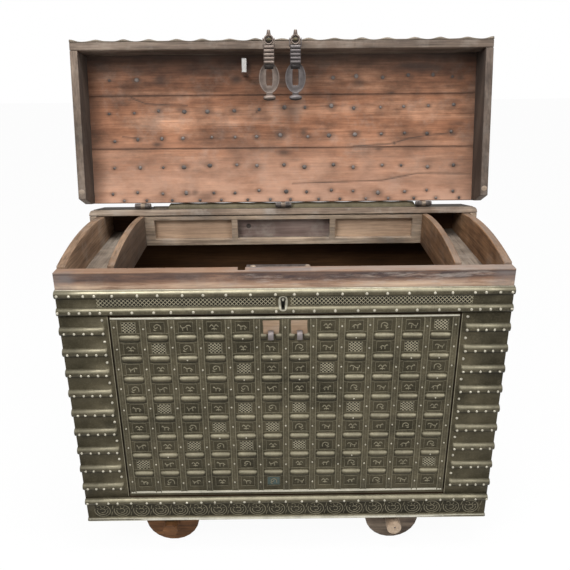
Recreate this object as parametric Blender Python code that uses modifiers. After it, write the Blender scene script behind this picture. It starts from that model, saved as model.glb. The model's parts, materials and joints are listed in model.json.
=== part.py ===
"""Wheeled dowry chest: timber frame, brass cladding, hinged lid, drop-front door and plank wheels.

Metres, +Z up. The front of the timber frame is at Y = 0 while the pieces are made; at the end the
whole chest is moved so that its bounding box stands over the world origin.
"""

import math

import bmesh
import bpy
from mathutils import Matrix, Vector

# Clearance between touching pieces
GAP = 0.0003
OVERLAP = 0.001

# Running gear
WHEEL_RADIUS = 0.078
WHEEL_WIDTH = 0.040
WHEEL_SETBACK = 0.040
WHEEL_HEADROOM = 0.006
WHEEL_FACETS = 24
AXLE_LEFT_SHARE = -0.297
AXLE_RIGHT_SHARE = 0.2735
AXLE_BEAM_WIDTH = 0.050
AXLE_BEAM_DROP = 0.026
JOURNAL_RADIUS = 0.021
JOURNAL_CLEARANCE = 0.0012
JOURNAL_REACH = 0.010
JOURNAL_FACETS = 16
PEG_RADIUS = 0.003
PEG_REACH = 0.006

# Timber body, in the order it is stacked from the floor up
UNDERSIDE = 0.112
SILL_HEIGHT = 0.0825
DOOR_SILL_GAP = 0.006
DOOR_HEIGHT = 0.5615
DOOR_HEAD_GAP = 0.004
LOCK_BAND_HEIGHT = 0.071
RAIL_BARE_HEIGHT = 0.045
ARCH_RISE = 0.033
ARCH_CREST_Y = 0.270
ARCH_RADIUS = 1.072
BODY_WIDTH = 1.148
BODY_DEPTH = 0.554
FRAME_THICKNESS = 0.032
BOARD = 0.022

# Tills round the top of the well
TILL_DEPTH = 0.058
TILL_FLOOR = 0.012
TILL_WIDTH = 0.1057
PARTITION = 0.018
PARTITION_LIP = 0.005
REAR_FRAME = 0.018
REAR_FRAME_SETBACK = 0.002
REAR_RAIL = 0.012
REAR_SILL = 0.019
REAR_END_STILE = 0.046
REAR_STILE = 0.018
REAR_STILE_X = 0.152
PANEL = 0.008
PANEL_SIDE_COVER = 0.006
PANEL_HEAD_COVER = 0.009

# Fixed board along the back of the top
REAR_BOARD_CLEARANCE = 0.002
REAR_BOARD = 0.0185
REAR_TILT = math.radians(11.5)
REAR_BOARD_DEPTH = 0.129
REAR_BOARD_OVERHANG = 0.008
REAR_BOARD_ROUNDING = 0.014
REAR_BEAD_HEIGHT = 0.008
REAR_BEAD_WIDTH = 0.020
REAR_BEAD_SETBACK = 0.0195
REAR_BEAD_CLEARANCE = 0.010

# Lid
LID_SIDE_CLEARANCE = 0.002
LID_FRONT_CLEARANCE = 0.0035
LID_WALL = 0.022
LID_PLANK = 0.024
LID_RIM_GAP = 0.0055
LID_REAR_GAP = 0.0085
LID_REAR_BEVEL = 0.017
LID_REAR_EDGE = 0.030
LID_PLANK_JOINTS = (0.171, 0.326)
LID_OPEN_DEGREES = 102.4
LID_RIB_PITCH = 0.0745
LID_RIB_COUNT = 15
LID_RIB_HALF = 0.010
LID_RIB_HEIGHT = 0.007

# Brass sheet and its half-round ribs
SHEET = 0.0012
RIB_PITCH = 0.0609
RIB_HALF = 0.012
RIB_HEIGHT = 0.009
RIB_COUNT = 9
END_RIB_SHARE = 0.12
RIB_SEGMENTS = 5
MOULDING_HALF = 0.011
MOULDING_HEIGHT = 0.009
MOULDING_INSET = 0.001
BASE_LIP = 0.006
CLADDING_BACK_INSET = 0.002

# Door
STILE_WIDTH = 0.124
DOOR_SIDE_GAP = 0.0032
DOOR_BOARD = 0.028
DOOR_STOP = 0.012
DOOR_STOP_CLEARANCE = 0.0009
DOOR_COLUMNS = 12
DOOR_RIB_ROWS = 8
DOOR_FIRST_RIB = 0.077
DOOR_RIB_PITCH = 0.0606
DOOR_RIB_HALF = 0.011
DOOR_RIB_HEIGHT = 0.008
DOOR_STRIP = 0.019
DOOR_STRIP_HEIGHT = 0.003
DOOR_STRIP_INSET = 0.009
DOOR_STRIP_EDGE = 0.001
DOOR_PIVOT_RADIUS = 0.005
DOOR_PIVOT_SETBACK = 0.0055
DOOR_PIVOT_RISE = 0.0055
DOOR_PIVOT_LENGTH = 0.012
DOOR_PIVOT_CLEARANCE = 0.0004

# Hinges
HINGE_SHARE = 0.3746
HINGE_SETBACK = 0.0035
HINGE_RISE = 0.0099
KNUCKLE_RADIUS = 0.008
KNUCKLE_WIDTH = 0.012
HINGE_PIN_RADIUS = 0.003
HINGE_PIN_CLEARANCE = 0.0004
HINGE_PIN_END = 0.001
HINGE_PLATE = 0.003
HINGE_LEAF_LENGTH = 0.050
ROUND_SEGMENTS = 12

# Hasps, measured from their pivots
HASP_X = 0.037
HASP_PLATE = 0.004
HASP_DROP = 0.034
HASP_STANDOFF = -0.0035
HASP_WIDTH = 0.0336
HASP_NECK_TOP = 0.0145
HASP_NECK_END = 0.064
HASP_OVAL_WIDTH = 0.059
HASP_OVAL_LENGTH = 0.085
HASP_OVAL_CENTRE = 0.1015
HASP_SLOT_WIDTH = 0.017
HASP_SLOT_TOP = 0.078
HASP_SLOT_BOTTOM = 0.122
HASP_STEM_WIDTH = 0.018
HASP_KNOB_DROP = 0.155
HASP_KNOB_RADIUS = 0.007
HASP_KNOB_WIDTH = 0.036
HASP_LUG_RADIUS = 0.005
HASP_LUG = 0.003
EYE_RADIUS = 0.0135
EYE_HOLE = 0.0095
EYE_FINIAL = 0.025
EYE_PIN_RADIUS = 0.0022
EYE_PIN_CLEARANCE = 0.0005
LOOP_RADIUS = 0.0048
LOOP_WIDTH = 0.010
LOOP_NECK = 0.0024
LOOP_FOOT = 0.016
LOOP_PLATE = 0.003

# Staples on the door that the hasps drop over
STAPLE_WIDTH = 0.014
STAPLE_BAR = 0.003
STAPLE_HEIGHT = 0.024
STAPLE_REACH = 0.017

# Lock
KEYHOLE_X = -0.005
KEYHOLE_RADIUS = 0.005
KEYHOLE_SLOT = 0.0055
KEYHOLE_LENGTH = 0.018
KEYHOLE_DROP = 0.0315
ESCUTCHEON_MARGIN = 0.004
ESCUTCHEON_HEIGHT = 0.0025
STRIKER_X = -0.1085
STRIKER_WIDTH = 0.013
STRIKER_BAR = 0.003
STRIKER_SPAN = 0.038
STRIKER_LENGTH = 0.0775
STRIKER_SETBACK = 0.0185
NOTCH_MARGIN = 0.003
NOTCH_SWEEP = 0.0085
NOTCH_DEPTH = 0.032
CASE_WIDTH = 0.157
CASE_DEPTH = 0.0217
CASE_HEIGHT = 0.108
CASE_CLEARANCE = 0.005
CASE_WALL = 0.005
BOLT = 0.012
BOLT_LENGTH = 0.072
BOLT_LIFT = 0.003
BOLT_CLEARANCE = 0.0003

# Levels and lines that several pieces share
SILL_TOP = UNDERSIDE + SILL_HEIGHT
DOOR_BOTTOM = SILL_TOP + DOOR_SILL_GAP
DOOR_TOP = DOOR_BOTTOM + DOOR_HEIGHT
RAIL_BOTTOM = DOOR_TOP + DOOR_HEAD_GAP
BAND_TOP = RAIL_BOTTOM + LOCK_BAND_HEIGHT
RAIL_TOP = BAND_TOP + RAIL_BARE_HEIGHT
ARCH_TOP = RAIL_TOP + ARCH_RISE
TILL_TOP = RAIL_TOP - TILL_DEPTH
WHEEL_REACH = WHEEL_RADIUS / math.cos(math.pi / WHEEL_FACETS)
FLOOR_LOW = WHEEL_RADIUS + WHEEL_REACH + WHEEL_HEADROOM
FLOOR_TOP = FLOOR_LOW + BOARD
HALF_BODY = BODY_WIDTH / 2
OPENING_HALF = HALF_BODY - STILE_WIDTH
DOOR_WIDTH = 2 * (OPENING_HALF - DOOR_SIDE_GAP)
AXLE_LEFT_X = AXLE_LEFT_SHARE * BODY_WIDTH
AXLE_RIGHT_X = AXLE_RIGHT_SHARE * BODY_WIDTH
HINGE_X = HINGE_SHARE * BODY_WIDTH
END_INNER = HALF_BODY - BOARD
TILL_INNER = END_INNER - TILL_WIDTH
WELL_HALF = TILL_INNER - PARTITION
BACK_INNER = BODY_DEPTH - BOARD
REAR_BACK = BODY_DEPTH + REAR_BOARD_OVERHANG
REAR_FRONT = REAR_BACK - REAR_BOARD_DEPTH
LID_HALF = HALF_BODY + LID_SIDE_CLEARANCE + LID_WALL
HINGE_Y = REAR_FRONT + HINGE_SETBACK
LID_LENGTH = HINGE_Y + LID_FRONT_CLEARANCE + LID_WALL
SHEET_FACE = GAP + SHEET
COLUMN_PITCH = (DOOR_WIDTH - DOOR_STRIP - 2 * DOOR_STRIP_EDGE) / DOOR_COLUMNS


def arch_height(y):
    """Height of the arched end boards at depth y."""
    return ARCH_TOP - ARCH_RADIUS + math.sqrt(ARCH_RADIUS**2 - (y - ARCH_CREST_Y) ** 2)


REAR_UNDER = arch_height(REAR_FRONT) + REAR_BOARD_CLEARANCE
REAR_TOP = REAR_UNDER + REAR_BOARD
REAR_SLOPE = math.tan(REAR_TILT)
REAR_SHEET_TOP = REAR_TOP + SHEET_FACE
HINGE_Z = REAR_SHEET_TOP + HINGE_RISE
LID_RIM = BAND_TOP + LID_RIM_GAP
LID_WALL_DEPTH = HINGE_Z - LID_RIM
REAR_FRAME_FRONT = REAR_FRONT + REAR_FRAME_SETBACK
REAR_FRAME_BACK = REAR_FRAME_FRONT + REAR_FRAME
SLIDE_FRONT = REAR_FRAME_BACK + GAP
SLIDE_BACK = SLIDE_FRONT + PANEL
PIVOT_Y = -LID_LENGTH - HASP_STANDOFF
PIVOT_Z = -LID_WALL_DEPTH - HASP_DROP
DOOR_PIVOT_Z = DOOR_BOTTOM + DOOR_PIVOT_RISE
STRIKER_BOTTOM = HINGE_Z - STRIKER_LENGTH
BOLT_BOTTOM = STRIKER_BOTTOM + STRIKER_BAR + BOLT_LIFT
CASE_FRONT = FRAME_THICKNESS + GAP
CASE_LEFT = STRIKER_X + STRIKER_WIDTH / 2 + CASE_CLEARANCE


def rear_under(y):
    """Height of the sloping rear board's underside at depth y."""
    return REAR_UNDER - (y - REAR_FRONT) * REAR_SLOPE


def rear_sheet(y):
    """Height of the face of the sheet on the rear board at depth y."""
    return rear_under(y) + (REAR_BOARD + SHEET_FACE) / math.cos(REAR_TILT)


def start():
    """Empty scene with one collection for the pieces and one for the tools that cut them."""
    for old in list(bpy.data.objects):
        bpy.data.objects.remove(old, do_unlink=True)
    pieces = bpy.data.collections.new("damchiya_chest")
    cutters = bpy.data.collections.new("cutters")
    bpy.context.scene.collection.children.link(pieces)
    bpy.context.scene.collection.children.link(cutters)
    return pieces, cutters


PIECES, CUTTERS = start()


def material(name, colour, roughness, metallic):
    made = bpy.data.materials.new(name)
    made.use_nodes = True
    shader = made.node_tree.nodes["Principled BSDF"]
    shader.inputs["Base Color"].default_value = (*colour, 1)
    shader.inputs["Roughness"].default_value = roughness
    shader.inputs["Metallic"].default_value = metallic
    return made


FRAME_WOOD = material("frame_wood", (0.30, 0.19, 0.12), 0.75, 0)
LID_WOOD = material("lid_wood", (0.36, 0.19, 0.11), 0.7, 0)
WHEEL_WOOD = material("wheel_wood", (0.27, 0.15, 0.08), 0.75, 0)
BRASS = material("patinated_brass", (0.16, 0.14, 0.09), 0.45, 0.8)
BATTEN = material("brass_clad_batten", (0.16, 0.14, 0.09), 0.45, 0.8)
IRON = material("forged_iron", (0.16, 0.13, 0.11), 0.55, 0.8)
STEEL = material("worn_steel", (0.45, 0.44, 0.42), 0.35, 1)


def empty(name, parent, location, turn_x=0.0):
    """An axis or origin that pieces are parented to."""
    made = bpy.data.objects.new(name, None)
    PIECES.objects.link(made)
    made.parent = parent
    made.location = location
    made.rotation_euler.x = turn_x
    return made


ROOT = empty("chest_origin", None, (0, 0, 0))
REAR_AXIS = empty("rear_top_line", ROOT, (0, REAR_FRONT, REAR_UNDER), -REAR_TILT)
LID_AXIS = empty("lid_axis", ROOT, (0, HINGE_Y, HINGE_Z), math.radians(-LID_OPEN_DEGREES))
DOOR_AXIS = empty("door_axis", ROOT, (0, DOOR_PIVOT_SETBACK, DOOR_PIVOT_Z))


def piece(name, mesh, finish, parent, location=(0, 0, 0)):
    made = bpy.data.objects.new(name, mesh)
    PIECES.objects.link(made)
    made.parent = parent
    made.location = location
    mesh.materials.clear()
    mesh.materials.append(finish)
    return made


def box_mesh(low, high):
    """A box between two corners, with its centre as origin."""
    mesh = bpy.data.meshes.new("box")
    work = bmesh.new()
    bmesh.ops.create_cube(work, size=1)
    size = Vector(high) - Vector(low)
    bmesh.ops.scale(work, vec=size, verts=work.verts)
    work.to_mesh(mesh)
    work.free()
    return mesh


def box(name, low, high, finish, parent=None):
    middle = (Vector(low) + Vector(high)) / 2
    return piece(name, box_mesh(low, high), finish, parent or ROOT, middle)


# Rotations that take an outline's own u, v and depth to the world's axes
ALONG = {
    "X": Matrix(((0, 0, 1), (1, 0, 0), (0, 1, 0))),
    "Y": Matrix(((1, 0, 0), (0, 0, -1), (0, 1, 0))),
    "Z": Matrix.Identity(3),
}


def prism(name, outline, axis, begin, end, finish, parent=None):
    """A flat outline drawn out along X (outline in Y, Z), Y (outline in X, Z) or Z (outline in X, Y)."""
    curve = bpy.data.curves.new(name, "CURVE")
    curve.dimensions = "2D"
    curve.fill_mode = "BOTH"
    curve.extrude = (end - begin) / 2
    spline = curve.splines.new("POLY")
    spline.points.add(len(outline) - 1)
    for point, (u, v) in zip(spline.points, outline):
        point.co = (u, v, 0, 1)
    spline.use_cyclic_u = True
    drawn = bpy.data.objects.new(name, curve)
    CUTTERS.objects.link(drawn)
    mesh = solid_mesh(drawn)
    bpy.data.objects.remove(drawn)
    mesh.transform(ALONG[axis].to_4x4())
    place = Vector((0, 0, 0))
    place["XYZ".index(axis)] = (begin + end) / 2
    return piece(name, mesh, finish, parent or ROOT, place)


def solid_mesh(source):
    """The evaluated mesh of an object, with its caps welded to its sides."""
    bpy.context.view_layer.update()
    seen = source.evaluated_get(bpy.context.evaluated_depsgraph_get())
    mesh = bpy.data.meshes.new_from_object(seen)
    work = bmesh.new()
    work.from_mesh(mesh)
    bmesh.ops.remove_doubles(work, verts=work.verts, dist=0.00001)
    bmesh.ops.recalc_face_normals(work, faces=work.faces)
    work.to_mesh(mesh)
    work.free()
    return mesh


def rod(name, axis, centre, radius, length, finish, parent=None, tip=None, segments=ROUND_SEGMENTS):
    """A round bar, or a taper where a tip radius is given, with a flat facet at its lowest side."""
    mesh = bpy.data.meshes.new(name)
    work = bmesh.new()
    bmesh.ops.create_cone(
        work, cap_ends=True, segments=segments, radius1=radius,
        radius2=radius if tip is None else tip, depth=length,
    )
    bmesh.ops.rotate(work, matrix=Matrix.Rotation(math.pi / segments, 3, "Z"), verts=work.verts)
    bmesh.ops.rotate(work, matrix=ALONG[axis], verts=work.verts)
    work.to_mesh(mesh)
    work.free()
    mesh.shade_smooth()
    mesh.set_sharp_from_angle(angle=math.radians(40))
    return piece(name, mesh, finish, parent or ROOT, centre)


def combine(target, tool, operation):
    """Join a tool to a piece or cut it out, keep the result as the piece's mesh, and drop the tool."""
    for other in tool if isinstance(tool, list) else [tool]:
        PIECES.objects.unlink(other)
        CUTTERS.objects.link(other)
        other.hide_render = True
        other.display_type = "WIRE"
        step = target.modifiers.new(operation.lower(), "BOOLEAN")
        step.operation = operation
        step.solver = "EXACT"
        step.object = other
        finish = target.data.materials[0]
        target.data = solid_mesh(target)
        target.data.materials.clear()
        target.data.materials.append(finish)
        target.modifiers.clear()
        bpy.data.objects.remove(other)
    return target


def join(target, *tools):
    return combine(target, list(tools), "UNION")


def cut(target, *tools):
    return combine(target, list(tools), "DIFFERENCE")


def arc(centre, radii, begin, end, segments):
    """Points on an ellipse from one angle to another, in degrees."""
    points = []
    for step in range(segments + 1):
        angle = math.radians(begin + (end - begin) * step / segments)
        points.append((centre[0] + radii[0] * math.cos(angle), centre[1] + radii[1] * math.sin(angle)))
    return points


def ribbed(begin, end, ribs):
    """Outline of a sheet with hollow half-round ribs: distance along the sheet, height off its back.

    Each rib is its middle, half width and height above the sheet.
    """
    face = []
    back = []
    for middle, half, height in ribs:
        face += arc((middle, SHEET), (half, height), 180, 0, RIB_SEGMENTS)
        back += arc((middle, 0), (half - SHEET, height), 180, 0, RIB_SEGMENTS)
    outer = [(begin, SHEET), *face, (end, SHEET)]
    inner = [(end, 0), *reversed(back), (begin, 0)]
    return outer + inner


def worn_down(ribs):
    """The same ribs beaten nearly flat, as they are on the chest's ends."""
    return [(middle, half, END_RIB_SHARE * height) for middle, half, height in ribs]


def ellipse(centre, width, length, segments=24):
    return arc(centre, (width / 2, length / 2), 0, 360 - 360 / segments, segments - 1)


def loft(name, rings, finish):
    """A solid drawn through rings of matching points and closed at both ends."""
    mesh = bpy.data.meshes.new(name)
    work = bmesh.new()
    rows = [[work.verts.new(point) for point in ring] for ring in rings]
    count = len(rows[0])
    for row, following in zip(rows, rows[1:]):
        for number in range(count):
            after = (number + 1) % count
            work.faces.new((row[number], row[after], following[after], following[number]))
    work.faces.new(rows[0])
    work.faces.new(rows[-1])
    bmesh.ops.recalc_face_normals(work, faces=work.faces)
    work.to_mesh(mesh)
    work.free()
    return piece(name, mesh, finish, ROOT)


def on_front(section, x):
    """A ribbed section standing on the front of the frame at one X."""
    return [(x, -GAP - height, along) for along, height in section]


def on_corner(section, end_section, side):
    """The front's section and the end's lower one meeting in a mitre at a front corner."""
    return [
        (side * (HALF_BODY + GAP + end_height), -GAP - height, along)
        for (along, height), (_, end_height) in zip(section, end_section)
    ]


def on_end(section, side):
    """The end's section standing on an end of the chest, at the back."""
    back = BODY_DEPTH - CLADDING_BACK_INSET
    return [(side * (HALF_BODY + GAP + height), back, along) for along, height in section]


SIDES = (("left", -1), ("right", 1))


def span(side, inner, outer):
    """Lowest and highest X of something that lies between two distances from the middle."""
    return min(side * inner, side * outer), max(side * inner, side * outer)


def front_frame():
    half = HALF_BODY
    box("front_bottom_rail", (-half, 0, UNDERSIDE), (half, FRAME_THICKNESS, SILL_TOP), FRAME_WOOD)
    rail = box("front_top_rail", (-half, 0, RAIL_BOTTOM), (half, FRAME_THICKNESS, RAIL_TOP), FRAME_WOOD)
    cut(rail, keyhole("keyhole_in_rail", -OVERLAP, FRAME_THICKNESS + OVERLAP), striker_notch())
    stop_front = DOOR_BOARD + DOOR_STOP_CLEARANCE
    for name, side in SIDES:
        outline = [
            (side * HALF_BODY, 0), (side * OPENING_HALF, 0), (side * OPENING_HALF, stop_front),
            (side * (OPENING_HALF - DOOR_STOP), stop_front),
            (side * (OPENING_HALF - DOOR_STOP), FRAME_THICKNESS), (side * HALF_BODY, FRAME_THICKNESS),
        ]
        stile = prism(
            f"front_stile_{name}", outline, "Z", SILL_TOP + GAP, RAIL_BOTTOM - GAP, FRAME_WOOD
        )
        socket = rod(
            "pivot_socket", "X", (side * OPENING_HALF, DOOR_PIVOT_SETBACK, DOOR_PIVOT_Z),
            DOOR_PIVOT_RADIUS + DOOR_PIVOT_CLEARANCE, 2 * DOOR_PIVOT_LENGTH, FRAME_WOOD,
        )
        cut(stile, socket)


def keyhole(name, front, back, margin=0.0):
    """Round head over a straight slot, drawn through from front to back."""
    head = BAND_TOP - KEYHOLE_DROP
    foot = head - KEYHOLE_LENGTH + KEYHOLE_RADIUS - margin
    half = KEYHOLE_SLOT / 2 + margin
    radius = KEYHOLE_RADIUS + margin
    turn = math.degrees(math.acos(half / radius))
    outline = arc((KEYHOLE_X, head), (radius, radius), -turn, 180 + turn, ROUND_SEGMENTS)
    outline += [(KEYHOLE_X - half, foot), (KEYHOLE_X + half, foot)]
    return prism(name, outline, "Y", front, back, STEEL)


def striker_notch():
    half = STRIKER_WIDTH / 2 + NOTCH_MARGIN
    return box(
        "striker_notch", (STRIKER_X - half, STRIKER_SETBACK - NOTCH_SWEEP, RAIL_TOP - NOTCH_DEPTH),
        (STRIKER_X + half, FRAME_THICKNESS + OVERLAP, RAIL_TOP + OVERLAP), STEEL,
    )


def arched(front, back, bottom):
    """Outline in Y and Z of a board whose top follows the arch."""
    steps = 12
    crown = []
    for step in range(steps + 1):
        y = back + (front - back) * step / steps
        crown.append((y, arch_height(y)))
    return [(front, bottom), (back, bottom), *crown]


def carcass():
    front = FRAME_THICKNESS + GAP
    for name, side in SIDES:
        low, high = span(side, END_INNER, HALF_BODY)
        outline = arched(front, BACK_INNER - GAP, UNDERSIDE)
        prism(f"end_board_{name}", outline, "X", low, high, FRAME_WOOD)
    half = HALF_BODY
    top = rear_under(REAR_BACK) - GAP
    box("back_board", (-half, BACK_INNER, UNDERSIDE), (half, BODY_DEPTH, top), FRAME_WOOD)
    inner = END_INNER - GAP
    box("floor_board", (-inner, front, FLOOR_LOW), (inner, BACK_INNER - GAP, FLOOR_TOP), FRAME_WOOD)


def tills():
    front = FRAME_THICKNESS + GAP
    low = TILL_TOP - TILL_FLOOR
    for name, side in SIDES:
        begin, end = span(side, WELL_HALF, TILL_INNER)
        outline = arched(front, REAR_FRAME_FRONT - GAP, low - PARTITION_LIP)
        prism(f"till_partition_{name}", outline, "X", begin, end, FRAME_WOOD)
    outer = END_INNER - GAP
    inner = TILL_INNER + GAP
    back = BACK_INNER - GAP
    outline = [
        (-outer, front), (-inner, front), (-inner, SLIDE_FRONT), (inner, SLIDE_FRONT),
        (inner, front), (outer, front), (outer, back), (-outer, back),
    ]
    prism("till_floor", outline, "Z", low, TILL_TOP, FRAME_WOOD)


def rear_till():
    half = TILL_INNER
    low = TILL_TOP - TILL_FLOOR - PARTITION_LIP
    high = rear_under(REAR_FRAME_BACK) - GAP
    frame = box(
        "rear_till_frame", (-half, REAR_FRAME_FRONT, low), (half, REAR_FRAME_BACK, high), FRAME_WOOD
    )
    sill = low + REAR_SILL
    head = high - REAR_RAIL
    inner = REAR_STILE_X - REAR_STILE / 2
    near = REAR_STILE_X + REAR_STILE / 2
    far = half - REAR_END_STILE
    for begin, end in ((-far, -near), (-inner, inner), (near, far)):
        cutter = box(
            "window", (begin, REAR_FRAME_FRONT - OVERLAP, sill),
            (end, REAR_FRAME_BACK + OVERLAP, head), FRAME_WOOD,
        )
        cut(frame, cutter)
    top = head + PANEL_HEAD_COVER
    foot = TILL_TOP + GAP
    middle = REAR_STILE_X + REAR_STILE / 2 + GAP
    panel_back = SLIDE_BACK + GAP + PANEL
    box(
        "rear_till_centre_panel", (-middle, SLIDE_BACK + GAP, foot),
        (middle, panel_back, rear_under(panel_back) - GAP), FRAME_WOOD,
    )
    for name, side in SIDES:
        begin, end = span(side, near - PANEL_SIDE_COVER / 2, far + 2 * PANEL_SIDE_COVER)
        box(f"till_slide_{name}", (begin, SLIDE_FRONT, foot), (end, SLIDE_BACK, top), FRAME_WOOD)


def rear_top():
    radius = REAR_BOARD_ROUNDING
    outline = [(-LID_HALF, 0), (LID_HALF, 0)]
    outline += arc((LID_HALF - radius, REAR_BOARD - radius), (radius, radius), 0, 90, 4)
    outline += arc((radius - LID_HALF, REAR_BOARD - radius), (radius, radius), 90, 180, 4)
    prism("rear_top_board", outline, "Y", 0, REAR_BOARD_DEPTH, FRAME_WOOD, REAR_AXIS)
    outline = [
        (REAR_FRONT, LID_RIM), (REAR_BACK, LID_RIM), (REAR_BACK, rear_under(REAR_BACK) - GAP),
        (REAR_FRONT, REAR_UNDER - GAP),
    ]
    for name, side in SIDES:
        low, high = span(side, HALF_BODY + LID_SIDE_CLEARANCE, LID_HALF)
        prism(f"rear_top_end_{name}", outline, "X", low, high, FRAME_WOOD)
    flat = LID_HALF - radius - OVERLAP
    face = REAR_BOARD + SHEET_FACE
    sheet = box(
        "rear_top_cladding", (-flat, 0, REAR_BOARD + GAP), (flat, REAR_BOARD_DEPTH, face), BRASS, REAR_AXIS
    )
    clear = 1.5 * KNUCKLE_WIDTH + REAR_BEAD_CLEARANCE
    middle = (HINGE_SETBACK + REAR_BEAD_SETBACK, face - SHEET / 2)
    crown = arc(middle, (REAR_BEAD_WIDTH / 2, REAR_BEAD_HEIGHT + SHEET / 2), 0, 180, RIB_SEGMENTS)
    for side in (-1, 1):
        low, high = span(side, clear, HINGE_X - clear)
        join(sheet, prism("bead", crown, "X", low, high, BRASS, REAR_AXIS))


def front_cladding():
    upper = (BAND_TOP - MOULDING_INSET - MOULDING_HALF, MOULDING_HALF, MOULDING_HEIGHT)
    lower = (RAIL_BOTTOM + MOULDING_INSET + MOULDING_HALF, MOULDING_HALF, MOULDING_HEIGHT)
    base = (SILL_TOP - MOULDING_INSET - MOULDING_HALF, MOULDING_HALF, MOULDING_HEIGHT)
    lip = (UNDERSIDE + MOULDING_INSET + BASE_LIP, BASE_LIP, BASE_LIP)
    bands = (
        ("lock_band", RAIL_BOTTOM, BAND_TOP, [lower, upper]),
        ("base_band", UNDERSIDE, SILL_TOP, [lip, base]),
    )
    for name, low, high, ribs in bands:
        section = ribbed(low, high, ribs)
        end = ribbed(low, high, worn_down(ribs))
        rings = [on_end(end, -1), on_corner(section, end, -1), on_corner(section, end, 1), on_end(end, 1)]
        band = loft(name, rings, BRASS)
        if name == "lock_band":
            face = -SHEET_FACE + SHEET / 2
            plate = keyhole("escutcheon", -SHEET_FACE - ESCUTCHEON_HEIGHT, face, ESCUTCHEON_MARGIN)
            join(band, plate)
            cut(band, keyhole("keyhole_in_band", -SHEET_FACE - 2 * ESCUTCHEON_HEIGHT, OVERLAP))
    middle = (SILL_TOP + RAIL_BOTTOM) / 2
    ribs = [
        (middle + (number - (RIB_COUNT - 1) / 2) * RIB_PITCH, RIB_HALF, RIB_HEIGHT)
        for number in range(RIB_COUNT)
    ]
    section = ribbed(SILL_TOP + GAP, RAIL_BOTTOM - GAP, ribs)
    end = ribbed(SILL_TOP + GAP, RAIL_BOTTOM - GAP, worn_down(ribs))
    for name, side in SIDES:
        rings = [on_front(section, side * OPENING_HALF), on_corner(section, end, side), on_end(end, side)]
        loft(f"corner_cladding_{name}", rings, BRASS)


def hinges():
    half = 1.5 * KNUCKLE_WIDTH + GAP
    heel, toe = HINGE_Y, HINGE_Y + HINGE_LEAF_LENGTH
    plate = [(heel, rear_sheet(heel) + GAP), (toe, rear_sheet(toe) + GAP)]
    plate += [(y, z + HINGE_PLATE) for y, z in reversed(plate)]
    bore_radius = HINGE_PIN_RADIUS + HINGE_PIN_CLEARANCE
    for name, x in (("left", -HINGE_X), ("centre", 0), ("right", HINGE_X)):
        leaf = prism(f"hinge_leaf_{name}", plate, "X", x - half + OVERLAP, x + half - OVERLAP, IRON)
        centre = (x, HINGE_Y, HINGE_Z)
        width = KNUCKLE_WIDTH + 2 * GAP
        cut(leaf, rod("relief", "X", centre, KNUCKLE_RADIUS + 2 * GAP, width, IRON))
        for side in (-1, 1):
            place = (x + side * (KNUCKLE_WIDTH + GAP), HINGE_Y, HINGE_Z)
            join(leaf, rod("knuckle", "X", place, KNUCKLE_RADIUS, KNUCKLE_WIDTH, IRON))
        cut(leaf, rod("bore", "X", centre, bore_radius, 2 * half + 2 * OVERLAP, IRON))
        rod(f"hinge_pin_{name}", "X", centre, HINGE_PIN_RADIUS, 2 * (half + HINGE_PIN_END), STEEL)
        back = -LID_REAR_GAP + GAP
        strap = box(
            f"hinge_strap_{name}", (x - KNUCKLE_WIDTH / 2, back, 0),
            (x + KNUCKLE_WIDTH / 2, back + HINGE_PLATE, LID_PLANK), IRON, LID_AXIS,
        )
        join(strap, rod("eye", "X", (x, 0, 0), KNUCKLE_RADIUS, KNUCKLE_WIDTH, IRON, LID_AXIS))
        width = KNUCKLE_WIDTH + 2 * OVERLAP
        cut(strap, rod("bore", "X", (x, 0, 0), bore_radius, width, IRON, LID_AXIS))


def lid():
    edges = (LID_REAR_GAP, *LID_PLANK_JOINTS, LID_LENGTH)
    for name, near, far in zip(("rear", "middle", "front"), edges, edges[1:]):
        back = -near - (0 if name == "rear" else GAP)
        box(f"lid_plank_{name}", (-LID_HALF, -far, 0), (LID_HALF, back, LID_PLANK), LID_WOOD, LID_AXIS)
    wall_back = -LID_LENGTH + LID_WALL
    box(
        "lid_front_wall", (-LID_HALF, -LID_LENGTH, -LID_WALL_DEPTH), (LID_HALF, wall_back, -GAP),
        LID_WOOD, LID_AXIS,
    )
    outline = [
        (wall_back + GAP, -GAP), (wall_back + GAP, -LID_WALL_DEPTH),
        (-LID_REAR_GAP - LID_REAR_BEVEL, -LID_WALL_DEPTH), (-LID_REAR_GAP, -LID_REAR_EDGE),
        (-LID_REAR_GAP, -GAP),
    ]
    for name, side in SIDES:
        low, high = span(side, LID_HALF - LID_WALL, LID_HALF)
        prism(f"lid_end_{name}", outline, "X", low, high, LID_WOOD, LID_AXIS)
    ribs = [
        ((number - (LID_RIB_COUNT - 1) / 2) * LID_RIB_PITCH, LID_RIB_HALF, LID_RIB_HEIGHT)
        for number in range(LID_RIB_COUNT)
    ]
    section = ribbed(-LID_HALF, LID_HALF, ribs)
    outline = [(along, LID_PLANK + GAP + height) for along, height in section]
    prism("lid_cladding", outline, "Y", -LID_LENGTH, -LID_REAR_GAP, BRASS, LID_AXIS)
    outline = [(along, -LID_LENGTH - GAP - height) for along, height in section]
    prism("lid_front_cladding", outline, "Z", -LID_WALL_DEPTH, LID_PLANK, BRASS, LID_AXIS)


def u_bar(near, far, low, high, bar):
    """Outline of a squared U whose legs run from near to far between two heights, open at near."""
    turn = bar if far > near else -bar
    return [
        (near, low), (far, low), (far, high), (near, high),
        (near, high - bar), (far - turn, high - bar), (far - turn, low + bar), (near, low + bar),
    ]


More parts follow.
